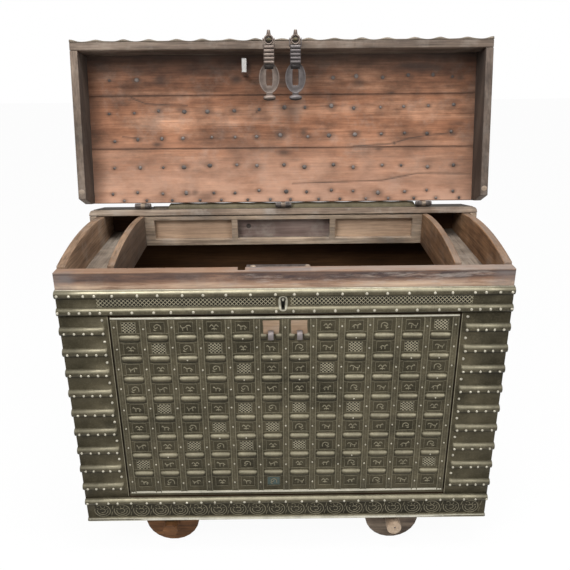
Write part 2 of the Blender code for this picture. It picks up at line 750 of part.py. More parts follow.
def lock():
    half = STRIKER_WIDTH / 2
    front = STRIKER_SETBACK - HINGE_Y
    legs = [(y, z) for z, y in u_bar(-GAP, -STRIKER_LENGTH, front, front + STRIKER_SPAN, STRIKER_BAR)]
    prism("lock_striker", legs, "X", STRIKER_X - half, STRIKER_X + half, STEEL, LID_AXIS)
    top = BOLT_BOTTOM + BOLT + CASE_WALL
    case = box(
        "lock_case", (CASE_LEFT, CASE_FRONT, top - CASE_HEIGHT),
        (CASE_LEFT + CASE_WIDTH, CASE_FRONT + CASE_DEPTH, top), IRON,
    )
    bolt_front = CASE_FRONT + (CASE_DEPTH - BOLT) / 2
    gap = BOLT_CLEARANCE
    channel = box(
        "channel", (CASE_LEFT - OVERLAP, bolt_front - gap, BOLT_BOTTOM - gap),
        (CASE_LEFT + BOLT_LENGTH + gap, bolt_front + BOLT + gap, BOLT_BOTTOM + BOLT + gap), IRON,
    )
    cut(case, channel, keyhole("keyway", CASE_FRONT - OVERLAP, CASE_FRONT + CASE_DEPTH / 2))
    box(
        "lock_bolt", (CASE_LEFT, bolt_front, BOLT_BOTTOM),
        (CASE_LEFT + BOLT_LENGTH, bolt_front + BOLT, BOLT_BOTTOM + BOLT), STEEL,
    )


def hasp_staple(name, x):
    """Foot under the lid's rim with a neck that slants forward to a loop for the eye's pin."""
    rim = -LID_WALL_DEPTH - GAP
    foot = LOOP_FOOT / 2
    staple = box(
        f"hasp_staple_{name}", (x - foot, -LID_LENGTH, rim - LOOP_PLATE),
        (x + foot, -LID_LENGTH + LID_WALL, rim), IRON, LID_AXIS,
    )
    root = Vector((-LID_LENGTH + LID_WALL - LOOP_PLATE, rim - LOOP_PLATE / 2))
    pivot = Vector((PIVOT_Y, PIVOT_Z))
    side = (root - pivot).orthogonal().normalized() * LOOP_NECK / 2
    outline = [pivot + side, root + side, root - side, pivot - side]
    half = LOOP_WIDTH / 2
    neck = prism("neck", outline, "X", x - half, x + half, IRON, LID_AXIS)
    loop = rod("loop", "X", (x, *pivot), LOOP_RADIUS, LOOP_WIDTH + OVERLAP, IRON, LID_AXIS)
    join(staple, neck, loop)
    radius = EYE_PIN_RADIUS + EYE_PIN_CLEARANCE
    cut(staple, rod("bore", "X", (x, *pivot), radius, LOOP_WIDTH + 3 * OVERLAP, IRON, LID_AXIS))


def hasp_eye(name, axis):
    """Ring with a pointed finial and the pin that crosses it; it stays plumb while the lid turns."""
    thick = HASP_PLATE / 2
    flank = EYE_RADIUS * math.cos(math.radians(60))
    shoulder = EYE_RADIUS * math.sin(math.radians(60))
    outline = arc((0, 0), (EYE_RADIUS, EYE_RADIUS), 120, 420, 20)
    outline += [(flank * 0.5, shoulder * 1.3), (0.0008, EYE_FINIAL), (-0.0008, EYE_FINIAL)]
    outline += [(-flank * 0.5, shoulder * 1.3)]
    ring = prism(f"hasp_eye_{name}", outline, "Y", -thick, thick, IRON, axis)
    hole = rod("hole", "Y", (0, 0, 0), EYE_HOLE, HASP_PLATE + 2 * OVERLAP, IRON, axis, segments=20)
    cut(ring, hole)
    join(ring, rod("pin", "X", (0, 0, 0), EYE_PIN_RADIUS, HASP_WIDTH + OVERLAP, IRON, axis))


def hasp(name, axis):
    """Two lugs on the eye's pin, neck, slotted oval, stem and rolled tail."""
    half = HASP_WIDTH / 2
    thick = HASP_PLATE / 2
    plate = box(f"hasp_{name}", (-half, -thick, -HASP_NECK_END), (half, thick, -HASP_NECK_TOP), IRON, axis)
    for side in (-1, 1):
        low, high = span(side, half - HASP_LUG, half)
        inset = OVERLAP / 4
        tongue = box(
            "tongue", (low, -thick - inset, -HASP_NECK_TOP - 8 * OVERLAP), (high + inset, thick + inset, 0),
            IRON, axis,
        )
        middle = ((low + high + inset) / 2, 0, 0)
        lug = rod("lug", "X", middle, HASP_LUG_RADIUS, high - low + inset, IRON, axis)
        join(plate, tongue, lug)
    oval = ellipse((0, -HASP_OVAL_CENTRE), HASP_OVAL_WIDTH, HASP_OVAL_LENGTH)
    join(plate, prism("oval", oval, "Y", -thick - OVERLAP / 2, thick + OVERLAP / 2, IRON, axis))
    stem = HASP_STEM_WIDTH / 2
    top = -HASP_OVAL_CENTRE - HASP_OVAL_LENGTH / 2 + 3 * OVERLAP
    join(plate, box("stem", (-stem, -thick, -HASP_KNOB_DROP), (stem, thick, top), IRON, axis))
    centre = (0, -HASP_PLATE, -HASP_KNOB_DROP)
    join(plate, rod("knob", "X", centre, HASP_KNOB_RADIUS, HASP_KNOB_WIDTH, IRON, axis))
    slot = box(
        "slot", (-HASP_SLOT_WIDTH / 2, -2 * thick, -HASP_SLOT_BOTTOM),
        (HASP_SLOT_WIDTH / 2, 2 * thick, -HASP_SLOT_TOP), IRON, axis,
    )
    radius = EYE_PIN_RADIUS + EYE_PIN_CLEARANCE
    cut(plate, slot, rod("bore", "X", (0, 0, 0), radius, HASP_WIDTH + 4 * OVERLAP, IRON, axis))


def repeated(source, count, step):
    """Turn one shape into a row of equal shapes."""
    row = source.modifiers.new("row", "ARRAY")
    row.count = count
    row.use_relative_offset = False
    row.use_constant_offset = True
    row.constant_offset_displace = step
    return source


def door():
    """Drop-front panel that tips forward on two pivots at its lower corners."""
    half = DOOR_WIDTH / 2
    low = -DOOR_PIVOT_RISE
    high = low + DOOR_HEIGHT
    face = -DOOR_PIVOT_SETBACK
    board = box("door_board", (-half, face, low), (half, face + DOOR_BOARD, high), FRAME_WOOD, DOOR_AXIS)
    for side in (-1, 1):
        reach = 2 * DOOR_PIVOT_LENGTH
        join(board, rod("pivot", "X", (side * half, 0, 0), DOOR_PIVOT_RADIUS, reach, FRAME_WOOD, DOOR_AXIS))
    skin = face - SHEET_FACE
    box("door_sheet", (-half, skin, low), (half, face - GAP, high), BRASS, DOOR_AXIS)
    front = skin - GAP
    first = -DOOR_COLUMNS * COLUMN_PITCH / 2
    lattice = box(
        "door_lattice", (first - DOOR_STRIP / 2, front - DOOR_STRIP_HEIGHT, low + DOOR_STRIP_INSET),
        (first + DOOR_STRIP / 2, front, high - DOOR_STRIP_INSET), BATTEN, DOOR_AXIS,
    )
    repeated(lattice, DOOR_COLUMNS + 1, (COLUMN_PITCH, 0, 0))
    rib_low = low + DOOR_FIRST_RIB
    inset = OVERLAP / 4
    radii = (DOOR_RIB_HEIGHT - inset, DOOR_RIB_HALF)
    crown = arc((front - inset, rib_low), radii, 90, 270, RIB_SEGMENTS - 1)
    begin = first + DOOR_STRIP / 2 - 2 * OVERLAP
    end = first + COLUMN_PITCH - DOOR_STRIP / 2 + 2 * OVERLAP
    ribs = prism("ribs", crown, "X", begin, end, BATTEN, DOOR_AXIS)
    repeated(ribs, DOOR_COLUMNS, (COLUMN_PITCH, 0, 0))
    repeated(ribs, DOOR_RIB_ROWS, (0, 0, DOOR_RIB_PITCH))
    middle = HINGE_Z + PIVOT_Z - (HASP_SLOT_TOP + HASP_SLOT_BOTTOM) / 2 - DOOR_PIVOT_Z
    bare = box(
        "bare", (-COLUMN_PITCH + DOOR_STRIP / 2, front - 2 * DOOR_RIB_HEIGHT, middle - STAPLE_HEIGHT),
        (COLUMN_PITCH - DOOR_STRIP / 2, front + OVERLAP, middle + STAPLE_HEIGHT), BATTEN, DOOR_AXIS,
    )
    post = box(
        "post", (-DOOR_STRIP / 2, front - DOOR_STRIP_HEIGHT, middle - STAPLE_HEIGHT - OVERLAP),
        (DOOR_STRIP / 2, front, middle + STAPLE_HEIGHT + OVERLAP), BATTEN, DOOR_AXIS,
    )
    join(lattice, ribs)
    cut(lattice, bare)
    join(lattice, post)
    foot = middle - STAPLE_HEIGHT / 2
    legs = u_bar(front, front - STAPLE_REACH, foot, foot + STAPLE_HEIGHT, STAPLE_BAR)
    for name, side in SIDES:
        low, high = span(side, HASP_X - STAPLE_WIDTH / 2, HASP_X + STAPLE_WIDTH / 2)
        prism(f"door_staple_{name}", legs, "X", low, high, IRON, DOOR_AXIS)


def running_gear():
    beam_top = FLOOR_LOW - GAP
    beam_front = WHEEL_SETBACK + WHEEL_WIDTH + GAP
    wheel_middles = (
        ("front", WHEEL_SETBACK + WHEEL_WIDTH / 2, -1),
        ("rear", BODY_DEPTH - WHEEL_SETBACK - WHEEL_WIDTH / 2, 1),
    )
    for name, x in (("left", AXLE_LEFT_X), ("right", AXLE_RIGHT_X)):
        half = AXLE_BEAM_WIDTH / 2
        beam = box(
            f"axle_{name}", (x - half, beam_front, WHEEL_RADIUS - AXLE_BEAM_DROP),
            (x + half, BODY_DEPTH - beam_front, beam_top), WHEEL_WOOD,
        )
        length = BODY_DEPTH + 2 * JOURNAL_REACH
        centre = (x, BODY_DEPTH / 2, WHEEL_RADIUS)
        journal = rod(
            "journal", "Y", centre, JOURNAL_RADIUS, length, WHEEL_WOOD, segments=JOURNAL_FACETS
        )
        join(beam, journal)
        for end, y, outward in wheel_middles:
            peg_y = y + outward * (WHEEL_WIDTH / 2 + PEG_RADIUS + GAP)
            peg_length = 2 * (JOURNAL_RADIUS + PEG_REACH)
            join(beam, rod("peg", "Z", (x, peg_y, WHEEL_RADIUS), PEG_RADIUS, peg_length, WHEEL_WOOD))
            hub = (x, y, WHEEL_RADIUS)
            wheel = rod(
                f"wheel_{end}_{name}", "Y", hub, WHEEL_REACH, WHEEL_WIDTH, WHEEL_WOOD,
                segments=WHEEL_FACETS,
            )
            bore = rod(
                "bore", "Y", hub, JOURNAL_RADIUS + JOURNAL_CLEARANCE, WHEEL_WIDTH + 2 * OVERLAP,
                WHEEL_WOOD, segments=JOURNAL_FACETS,
            )
            cut(wheel, bore)


def stand_over_origin():
    """Move the chest so that its bounding box is centred on the origin from front to back."""
    bpy.context.view_layer.update()
    depths = []
    for thing in PIECES.objects:
        if thing.type == "MESH":
            depths += [(thing.matrix_world @ corner.co).y for corner in thing.data.vertices]
    ROOT.location.y = -(min(depths) + max(depths)) / 2
    bpy.context.view_layer.update()


front_frame()
carcass()
tills()
rear_till()
rear_top()
front_cladding()
hinges()
lid()
lock()
for hand, sign in SIDES:
    hasp_staple(hand, sign * HASP_X)
    plumb = empty(
        f"hasp_axis_{hand}", LID_AXIS, (sign * HASP_X, PIVOT_Y, PIVOT_Z), math.radians(LID_OPEN_DEGREES)
    )
    hasp_eye(hand, plumb)
    hasp(hand, plumb)
door()
running_gear()
stand_over_origin()

for made in PIECES.objects:
    if made.type == "EMPTY":
        print(made.name, [round(value, 5) for value in made.matrix_world.translation])
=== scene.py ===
"""Looks of the wheeled dowry chest: embossed brass, worn timber, nails, forged hasps and plank wheels."""

import json
import math
import random

import bpy
import bmesh
from mathutils import Matrix, Vector

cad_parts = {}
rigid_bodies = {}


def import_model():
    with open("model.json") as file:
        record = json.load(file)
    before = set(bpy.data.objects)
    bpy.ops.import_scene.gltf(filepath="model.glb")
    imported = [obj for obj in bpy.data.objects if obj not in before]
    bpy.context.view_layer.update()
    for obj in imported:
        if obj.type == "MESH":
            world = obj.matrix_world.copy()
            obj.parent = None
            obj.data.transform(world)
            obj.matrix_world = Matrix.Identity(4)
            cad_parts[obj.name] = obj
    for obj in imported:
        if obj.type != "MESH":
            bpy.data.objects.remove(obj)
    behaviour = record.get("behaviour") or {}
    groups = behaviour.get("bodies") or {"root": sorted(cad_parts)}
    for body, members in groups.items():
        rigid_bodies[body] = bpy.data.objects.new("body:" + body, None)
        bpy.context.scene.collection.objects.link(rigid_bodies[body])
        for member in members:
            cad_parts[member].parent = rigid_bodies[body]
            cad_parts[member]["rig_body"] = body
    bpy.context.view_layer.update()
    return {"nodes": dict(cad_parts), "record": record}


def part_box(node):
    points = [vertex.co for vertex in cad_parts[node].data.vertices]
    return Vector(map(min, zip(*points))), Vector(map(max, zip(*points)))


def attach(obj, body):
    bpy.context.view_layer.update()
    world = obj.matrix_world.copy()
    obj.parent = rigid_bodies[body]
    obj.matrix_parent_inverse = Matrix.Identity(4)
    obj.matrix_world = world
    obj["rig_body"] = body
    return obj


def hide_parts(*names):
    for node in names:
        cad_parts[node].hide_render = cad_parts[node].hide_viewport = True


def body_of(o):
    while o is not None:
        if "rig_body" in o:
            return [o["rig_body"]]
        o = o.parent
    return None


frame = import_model()
NODES = frame["nodes"]
RNG = random.Random(7)
SIDES = (("left", -1), ("right", 1))

# Places taken from the solids, in metres
LIFT, SILL = (corner[2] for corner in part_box("base_band"))
BAND_LOW, BAND_TOP = (corner[2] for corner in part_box("lock_band"))
DOOR_LOW, DOOR_TOP = (corner[2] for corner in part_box("door_sheet"))
DOOR_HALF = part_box("door_sheet")[1][0]
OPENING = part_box("corner_cladding_right")[0][0]
HALF, _, RAIL_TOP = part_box("front_top_rail")[1]
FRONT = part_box("front_top_rail")[0][1]
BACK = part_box("back_board")[1][1]
CLEARANCE = 0.0003
SHEET = FRONT - CLEARANCE
JOINTS = {joint["name"]: joint for joint in frame["record"]["behaviour"]["joints"]}
HINGE = Vector(JOINTS["lid_hinge"]["pos_m"])
LID_TURN = math.radians(JOINTS["lid_hinge"]["range_deg"][1])
LID = Matrix.Translation(HINGE) @ Matrix.Rotation(-LID_TURN, 4, "X")
PIVOT = Vector(JOINTS["hasp_right_swing"]["pos_m"])

# Layout of the door
COLUMNS = 12
ROWS = 9
STRIP = 0.019
PITCH = (2 * DOOR_HALF - STRIP - 0.002) / COLUMNS
ROW_PITCH = 0.0606
FIRST_BAR = DOOR_LOW + 0.077
STAPLED = (5, 6)


def column_x(number):
    return (number - (COLUMNS - 1) / 2) * PITCH


def strip_x(number):
    return (number - COLUMNS / 2) * PITCH


def row_z(number):
    """Middle of a row of cells, counted from the top."""
    return FIRST_BAR - ROW_PITCH / 2 + (ROWS - 1 - number) * ROW_PITCH


# Materials


class Tree:
    """Short hand for the node tree of a material or world."""

    def __init__(self, owner):
        owner.use_nodes = True
        self.owner = owner
        self.nodes = owner.node_tree.nodes
        self.links = owner.node_tree.links

    def feed(self, node, inputs):
        """Link sockets to a node's inputs, or set constants on them."""
        for key, value in inputs.items():
            socket = node.inputs[key]
            if hasattr(value, "node"):
                self.links.new(value, socket)
            elif socket.type == "RGBA":
                socket.default_value = (*value, 1)
            else:
                socket.default_value = value

    def add(self, kind, inputs=None, **settings):
        node = self.nodes.new(kind)
        for key, value in settings.items():
            setattr(node, key, value)
        self.feed(node, inputs or {})
        return node

    def coordinates(self, scale=(1, 1, 1)):
        place = self.add("ShaderNodeTexCoord").outputs["Object"]
        return self.add("ShaderNodeMapping", {"Scale": scale, "Vector": place}).outputs["Vector"]

    def noise(self, vector, scale, detail=4.0, roughness=0.55, distortion=0.0):
        inputs = {"Vector": vector, "Scale": scale, "Detail": detail, "Roughness": roughness, "Distortion": distortion}
        return self.add("ShaderNodeTexNoise", inputs).outputs["Fac"]

    def ramp(self, source, stops):
        node = self.add("ShaderNodeValToRGB", {"Fac": source})
        band = node.color_ramp
        while len(band.elements) < len(stops):
            band.elements.new(0.5)
        for element, (place, colour) in zip(band.elements, stops):
            element.position = place
            element.color = (*colour, 1) if isinstance(colour, tuple) else (colour, colour, colour, 1)
        return node.outputs["Color"]

    def patches(self, scale, detail, roughness, *stops):
        """Grey values from a noise drawn out by scale."""
        return self.ramp(self.noise(self.coordinates(scale), 1.0, detail, roughness), stops)

    def mix(self, factor, first, second, kind="MIX"):
        inputs = {"Factor": factor, "A": first, "B": second}
        return self.add("ShaderNodeMix", inputs, data_type="RGBA", blend_type=kind).outputs["Result"]

    def multiply(self, first, second):
        return self.mix(1.0, first, second, "MULTIPLY")

    def math(self, operation, first, second=0.0, clamp=False):
        return self.add("ShaderNodeMath", {0: first, 1: second}, operation=operation, use_clamp=clamp).outputs["Value"]

    def attribute(self, name):
        return self.add("ShaderNodeAttribute", attribute_name=name).outputs["Fac"]

    def bump(self, height, strength, distance):
        inputs = {"Height": height, "Strength": strength, "Distance": distance}
        return self.add("ShaderNodeBump", inputs).outputs["Normal"]

    def finish(self, colour, roughness, normal, specular=0.5, metallic=0.0):
        self.feed(self.nodes["Principled BSDF"], {
            "Base Color": colour, "Roughness": roughness, "Normal": normal, "Specular IOR Level": specular,
            "Metallic": metallic,
        })
        return self.owner


def brass(name, dark, mid, light, metallic=0.55):
    """Old brass: olive patina in the hollows, paler metal where it is rubbed and under painted highlights, near black
    under dark patina and painted shade.
    """
    tree = Tree(bpy.data.materials.new(name))
    place = tree.coordinates()
    cloud = tree.noise(place, 9.0, 5.0, 0.6)
    grit = tree.noise(place, 240.0, 3.0, 0.6)
    uneven = tree.math("SUBTRACT", grit, 0.5)
    body = tree.ramp(cloud, [(0.25, dark), (0.55, mid), (0.85, tuple(1.15 * c for c in mid))])
    # Rubbed metal and painted highlights, from the wear_and_highlight attribute
    rubbed_and_lit = tree.math("ADD", tree.attribute("wear_and_highlight"), tree.math("MULTIPLY", uneven, 0.5), clamp=True)
    colour = tree.mix(rubbed_and_lit, body, light)
    colour = tree.multiply(colour, tree.ramp(tree.noise(place, 38.0, 4.0, 0.65), [(0.3, 0.72), (0.62, 1.0)]))
    # Dark patina, stains and painted shade, from the stain_and_shade attribute
    colour = tree.mix(tree.attribute("stain_and_shade"), colour, (0.012, 0.011, 0.008))
    colour = tree.mix(tree.attribute("pale"), colour, (0.22, 0.36, 0.36))
    rough = tree.math("SUBTRACT", 0.58, tree.math("MULTIPLY", rubbed_and_lit, 0.18))
    rough = tree.math("ADD", rough, tree.math("MULTIPLY", uneven, 0.2))
    relief = tree.math("ADD", tree.math("MULTIPLY", grit, 0.25), tree.noise(place, 70.0, 3.0))
    return tree.finish(colour, rough, tree.bump(relief, 0.35, 0.0012), 0.25, metallic)


def rail_wear_and_shade(tree, colour, low, high):
    """A board dark along its upper half, bare along its lower half and on its ledge, and grey at its ends, with a
    painted shade line just under the ledge.
    """
    split = tree.add("ShaderNodeSeparateXYZ", {"Vector": tree.coordinates()}).outputs
    level = tree.add("ShaderNodeMapRange", {"From Min": low, "From Max": high, "Value": split["Z"]}).outputs["Result"]
    shifted = tree.math("ADD", split["X"], 0.5)
    right = tree.ramp(shifted, [(0.33, 0.08), (0.42, 1.0)])

    streaks = tree.patches((5, 50, 50), 7.0, 0.72, (0.36, 0.12), (0.56, 1.0))
    bare = tree.multiply(tree.ramp(level, [(0.0, 0.55), (0.16, 0.9), (0.46, 0.0)]), streaks)
    colour = tree.mix(bare, colour, (0.56, 0.41, 0.29))
    dirt = tree.patches((7, 70, 38), 7.0, 0.75, (0.36, 0.3), (0.56, 1.0))
    dark = tree.multiply(tree.ramp(level, [(0.34, 0.0), (0.56, 1.0), (0.86, 1.0), (0.92, 0.0)]), dirt)
    dark = tree.multiply(dark, tree.ramp(shifted, [(0.33, 0.82), (0.42, 0.97)]))
    colour = tree.mix(dark, colour, (0.052, 0.036, 0.034))
    scratches = tree.patches((11, 90, 90), 6.0, 0.74, (0.50, 0.0), (0.68, 0.6))
    colour = tree.mix(tree.multiply(scratches, right), colour, (0.39, 0.335, 0.295))
    far = tree.ramp(tree.math("ABSOLUTE", split["X"]), [(0.515, 0.0), (0.535, 0.75)])
    patch = tree.patches((20, 45, 45), 4.0, 0.6, (0.35, 0.25), (0.6, 1.0))
    colour = tree.mix(tree.multiply(far, patch), colour, (0.145, 0.126, 0.120))
    # Painted shade: a dark line just under the ledge
    shade = tree.ramp(level, [(0.83, 0.0), (0.88, 0.7), (0.93, 0.7), (0.965, 0.0)])
    colour = tree.mix(shade, colour, (0.060, 0.040, 0.032))
    ledge = tree.multiply(tree.ramp(level, [(0.955, 0.0), (0.99, 0.85)]), streaks)
    worn = tree.mix(right, (0.245, 0.148, 0.092), (0.255, 0.205, 0.172))
    plate = tree.ramp(shifted, [(0.408, 0.0), (0.414, 0.8), (0.563, 0.8), (0.569, 0.0)])
    return tree.mix(ledge, colour, tree.mix(plate, worn, (0.165, 0.150, 0.146)))


def drawn_out(along, long, across):
    """Scales of a noise that runs along one axis."""
    return tuple(long if axis == along else across for axis in "XYZ")


def wood(
    name, ends, dark, mid, light, along="X", streak=0.35, bump=0.3, grey=0.0, worn=None, blotch=0.0,
    rubbed_and_lit=(0.56, 0.42, 0.30),
):
    """Old timber with grain along one axis, darkened by the stain_and_shade attribute, which holds real stains and
    painted shade, where a mesh carries one.

    The ends are the places of the dark and light tones on the scale of the grain.
    """
    tree = Tree(bpy.data.materials.new(name))
    grain = tree.noise(tree.coordinates(drawn_out(along, 2.2, 26.0)), 1.0, 6.0, 0.62, 0.6)
    fibre = tree.noise(tree.coordinates(drawn_out(along, 9, 190)), 1.0, 3.0, 0.6)
    cloud = tree.noise(tree.coordinates(), 5.5, 4.0, 0.6)
    value = tree.math("ADD", tree.math("MULTIPLY", grain, 0.6), tree.math("MULTIPLY", cloud, 0.4))
    colour = tree.ramp(value, [(ends[0], dark), (0.5, mid), (ends[1], light)])
    colour = tree.multiply(colour, tree.ramp(fibre, [(0.3, 1.0 - streak), (0.6, 1.0)]))
    if grey:
        haze = tree.ramp(tree.noise(tree.coordinates(), 13.0, 5.0, 0.7), [(0.5, 0.0), (0.72, grey)])
        colour = tree.mix(haze, colour, (0.33, 0.29, 0.25))
    if blotch:
        colour = tree.multiply(colour, tree.patches((9, 16, 16), 6.0, 0.68, (0.36, 1.0 - blotch), (0.62, 1.0)))
    if worn:
        colour = rail_wear_and_shade(tree, colour, *worn)
    # Real stains and painted shade from the stain_and_shade attribute
    colour = tree.mix(tree.attribute("stain_and_shade"), colour, (0.035, 0.026, 0.022))
    patchy = tree.patches((6, 15, 15), 5.0, 0.62, (0.36, 0.4), (0.60, 1.0))
    colour = tree.mix(tree.multiply(tree.attribute("pale"), patchy), colour, rubbed_and_lit)
    rough = tree.ramp(grain, [(0.2, 0.82), (0.8, 0.64)])
    relief = tree.math("ADD", tree.math("MULTIPLY", fibre, 0.6), grain)
    return tree.finish(colour, rough, tree.bump(relief, bump, 0.0018), 0.3)


def iron(name, dark, light, metallic=0.6, rough=0.55):
    """Rusty forged iron, brighter where it is rubbed and under painted highlights, darker under stains and painted
    shade.
    """
    tree = Tree(bpy.data.materials.new(name))
    place = tree.coordinates()
    rust = tree.noise(place, 60.0, 5.0, 0.65)
    fine = tree.noise(place, 420.0, 2.0)
    colour = tree.ramp(rust, [(0.3, dark), (0.7, light)])
    # Rubbing and painted highlights brighten; stains and painted shade darken
    colour = tree.mix(tree.attribute("wear_and_highlight"), colour, tuple(min(1.0, 1.9 * c) for c in light))
    colour = tree.mix(tree.attribute("stain_and_shade"), colour, (0.012, 0.009, 0.008))
    roughness = tree.ramp(rust, [(0.3, rough + 0.15), (0.7, rough - 0.1)])
    relief = tree.math("ADD", rust, tree.math("MULTIPLY", fine, 0.4))
    return tree.finish(colour, roughness, tree.bump(relief, 0.4, 0.0008), metallic=metallic)


BRASS = brass("patina_brass", (0.034, 0.029, 0.016), (0.088, 0.074, 0.044), (0.43, 0.39, 0.275))
DULL_BRASS = brass("dull_brass", (0.085, 0.066, 0.048), (0.17, 0.138, 0.105), (0.36, 0.31, 0.25), 0.35)
# A paler copy of the brass for the rear roll, which lies under the open lid: painted light
ROLL_BRASS = brass("roll_brass", (0.115, 0.092, 0.052), (0.215, 0.178, 0.105), (0.36, 0.31, 0.21), 0.2)
NAIL = brass("nail_brass", (0.17, 0.15, 0.10), (0.31, 0.28, 0.21), (0.55, 0.515, 0.42), 0.6)
EDGE = brass("edge_brass", (0.20, 0.18, 0.12), (0.34, 0.31, 0.23), (0.72, 0.69, 0.58), 0.5)
LID_WOOD = wood(
    "lid_planks", (0.32, 0.66), (0.130, 0.050, 0.024), (0.325, 0.146, 0.078), (0.54, 0.285, 0.172),
    grey=0.35, blotch=0.52, rubbed_and_lit=(0.60, 0.36, 0.25),
)
RIM_WOOD = wood(
    "lid_rim", (0.32, 0.68), (0.036, 0.026, 0.020), (0.140, 0.102, 0.077), (0.27, 0.208, 0.160), streak=0.5, grey=0.3
)
RIM_END_WOOD = wood(
    "lid_rim_end", (0.32, 0.68), (0.034, 0.025, 0.019), (0.122, 0.089, 0.068), (0.24, 0.183, 0.140), "Z",
    streak=0.5, grey=0.3,
)
RAIL_WOOD = wood(
    "rail", (0.28, 0.72), (0.11, 0.055, 0.033), (0.265, 0.148, 0.094), (0.44, 0.285, 0.195),
    streak=0.45, grey=0.35, worn=(BAND_TOP, RAIL_TOP),
)
FRAME_WOOD = wood(
    "frame", (0.32, 0.68), (0.150, 0.104, 0.074), (0.420, 0.312, 0.222), (0.66, 0.528, 0.395),
    streak=0.5, grey=0.6, blotch=0.35,
)
END_WOOD = wood(
    "end_boards", (0.30, 0.70), (0.095, 0.056, 0.034), (0.235, 0.148, 0.092), (0.42, 0.285, 0.185), "Y",
    streak=0.5, grey=0.4,
)
PANEL_WOOD = wood(
    "till_panels", (0.26, 0.76), (0.37, 0.240, 0.156), (0.59, 0.405, 0.275), (0.75, 0.560, 0.405),
    streak=0.3, bump=0.15, blotch=0.2,
)
PATCH_WOOD = wood(
    "bare_patch", (0.30, 0.70), (0.115, 0.070, 0.042), (0.27, 0.178, 0.112), (0.45, 0.325, 0.220), streak=0.3, grey=0.4
)
SPOTTED_WOOD = wood(
    "spotted_panel", (0.30, 0.70), (0.090, 0.060, 0.054), (0.25, 0.180, 0.156), (0.48, 0.38, 0.33), streak=0.3, grey=0.9
)
TILL_WOOD = wood(
    "till_floor", (0.32, 0.68), (0.13, 0.100, 0.078), (0.28, 0.224, 0.174), (0.44, 0.375, 0.305), "Y",
    streak=0.4, grey=0.6, blotch=0.35,
)
STRIP_WOOD = wood(
    "rear_strip", (0.32, 0.68), (0.085, 0.056, 0.040), (0.29, 0.212, 0.155), (0.52, 0.42, 0.325), streak=0.5, grey=0.8
)
END_GRAIN = wood(
    "axle_end", (0.30, 0.70), (0.20, 0.135, 0.090), (0.38, 0.275, 0.190), (0.54, 0.42, 0.31), "Y", streak=0.3, grey=0.3
)
# A warmer copy of the end boards' wood for the right-hand boards, painted to look lit on their inner faces
LIT_END_WOOD = wood(
    "lit_end_boards", (0.30, 0.70), (0.085, 0.040, 0.018), (0.245, 0.130, 0.064), (0.42, 0.26, 0.145), "Y",
    streak=0.55, grey=0.25, blotch=0.3, rubbed_and_lit=(0.205, 0.162, 0.132),
)
WELL_WOOD = wood("well_boards", (0.26, 0.76), (0.026, 0.010, 0.003), (0.078, 0.034, 0.011), (0.15, 0.072, 0.027))
DARK_WOOD = wood("dark_boards", (0.26, 0.76), (0.020, 0.009, 0.004), (0.050, 0.023, 0.010), (0.095, 0.046, 0.020))
WHEEL_LEFT = wood(
    "wheel_left", (0.34, 0.66), (0.034, 0.013, 0.004), (0.178, 0.074, 0.024), (0.38, 0.185, 0.070),
    streak=0.5, bump=0.5, blotch=0.3,
)
WHEEL_RIGHT = wood(
    "wheel_right", (0.34, 0.66), (0.034, 0.023, 0.016), (0.128, 0.092, 0.066), (0.29, 0.22, 0.158),
    streak=0.5, bump=0.5, blotch=0.3,
)
IRON = iron("forged_iron", (0.075, 0.056, 0.046), (0.165, 0.130, 0.110))
KNUCKLE_IRON = iron("rubbed_iron", (0.14, 0.105, 0.080), (0.31, 0.25, 0.19))
IRON_GREY = iron("dark_forged_iron", (0.055, 0.048, 0.047), (0.115, 0.100, 0.097))
DARK_IRON = iron("nail_iron", (0.040, 0.032, 0.029), (0.115, 0.096, 0.086), 0.4, 0.6)
STEEL = iron("bright_steel", (0.22, 0.21, 0.20), (0.46, 0.45, 0.43), 0.9, 0.4)


# Mesh building


def angles(count, start=0.0):
    """Even steps round a circle."""
    return [start + 2 * math.pi * number / count for number in range(count)]


def rectangle(left, right, first, second):
    return [(left, first), (right, first), (right, second), (left, second)]


def mirrored(half, middle):
    """A section from its left half and its middle; each point begins with its place across."""
    return [*half, middle, *((-across, *rest) for across, *rest in reversed(half))]


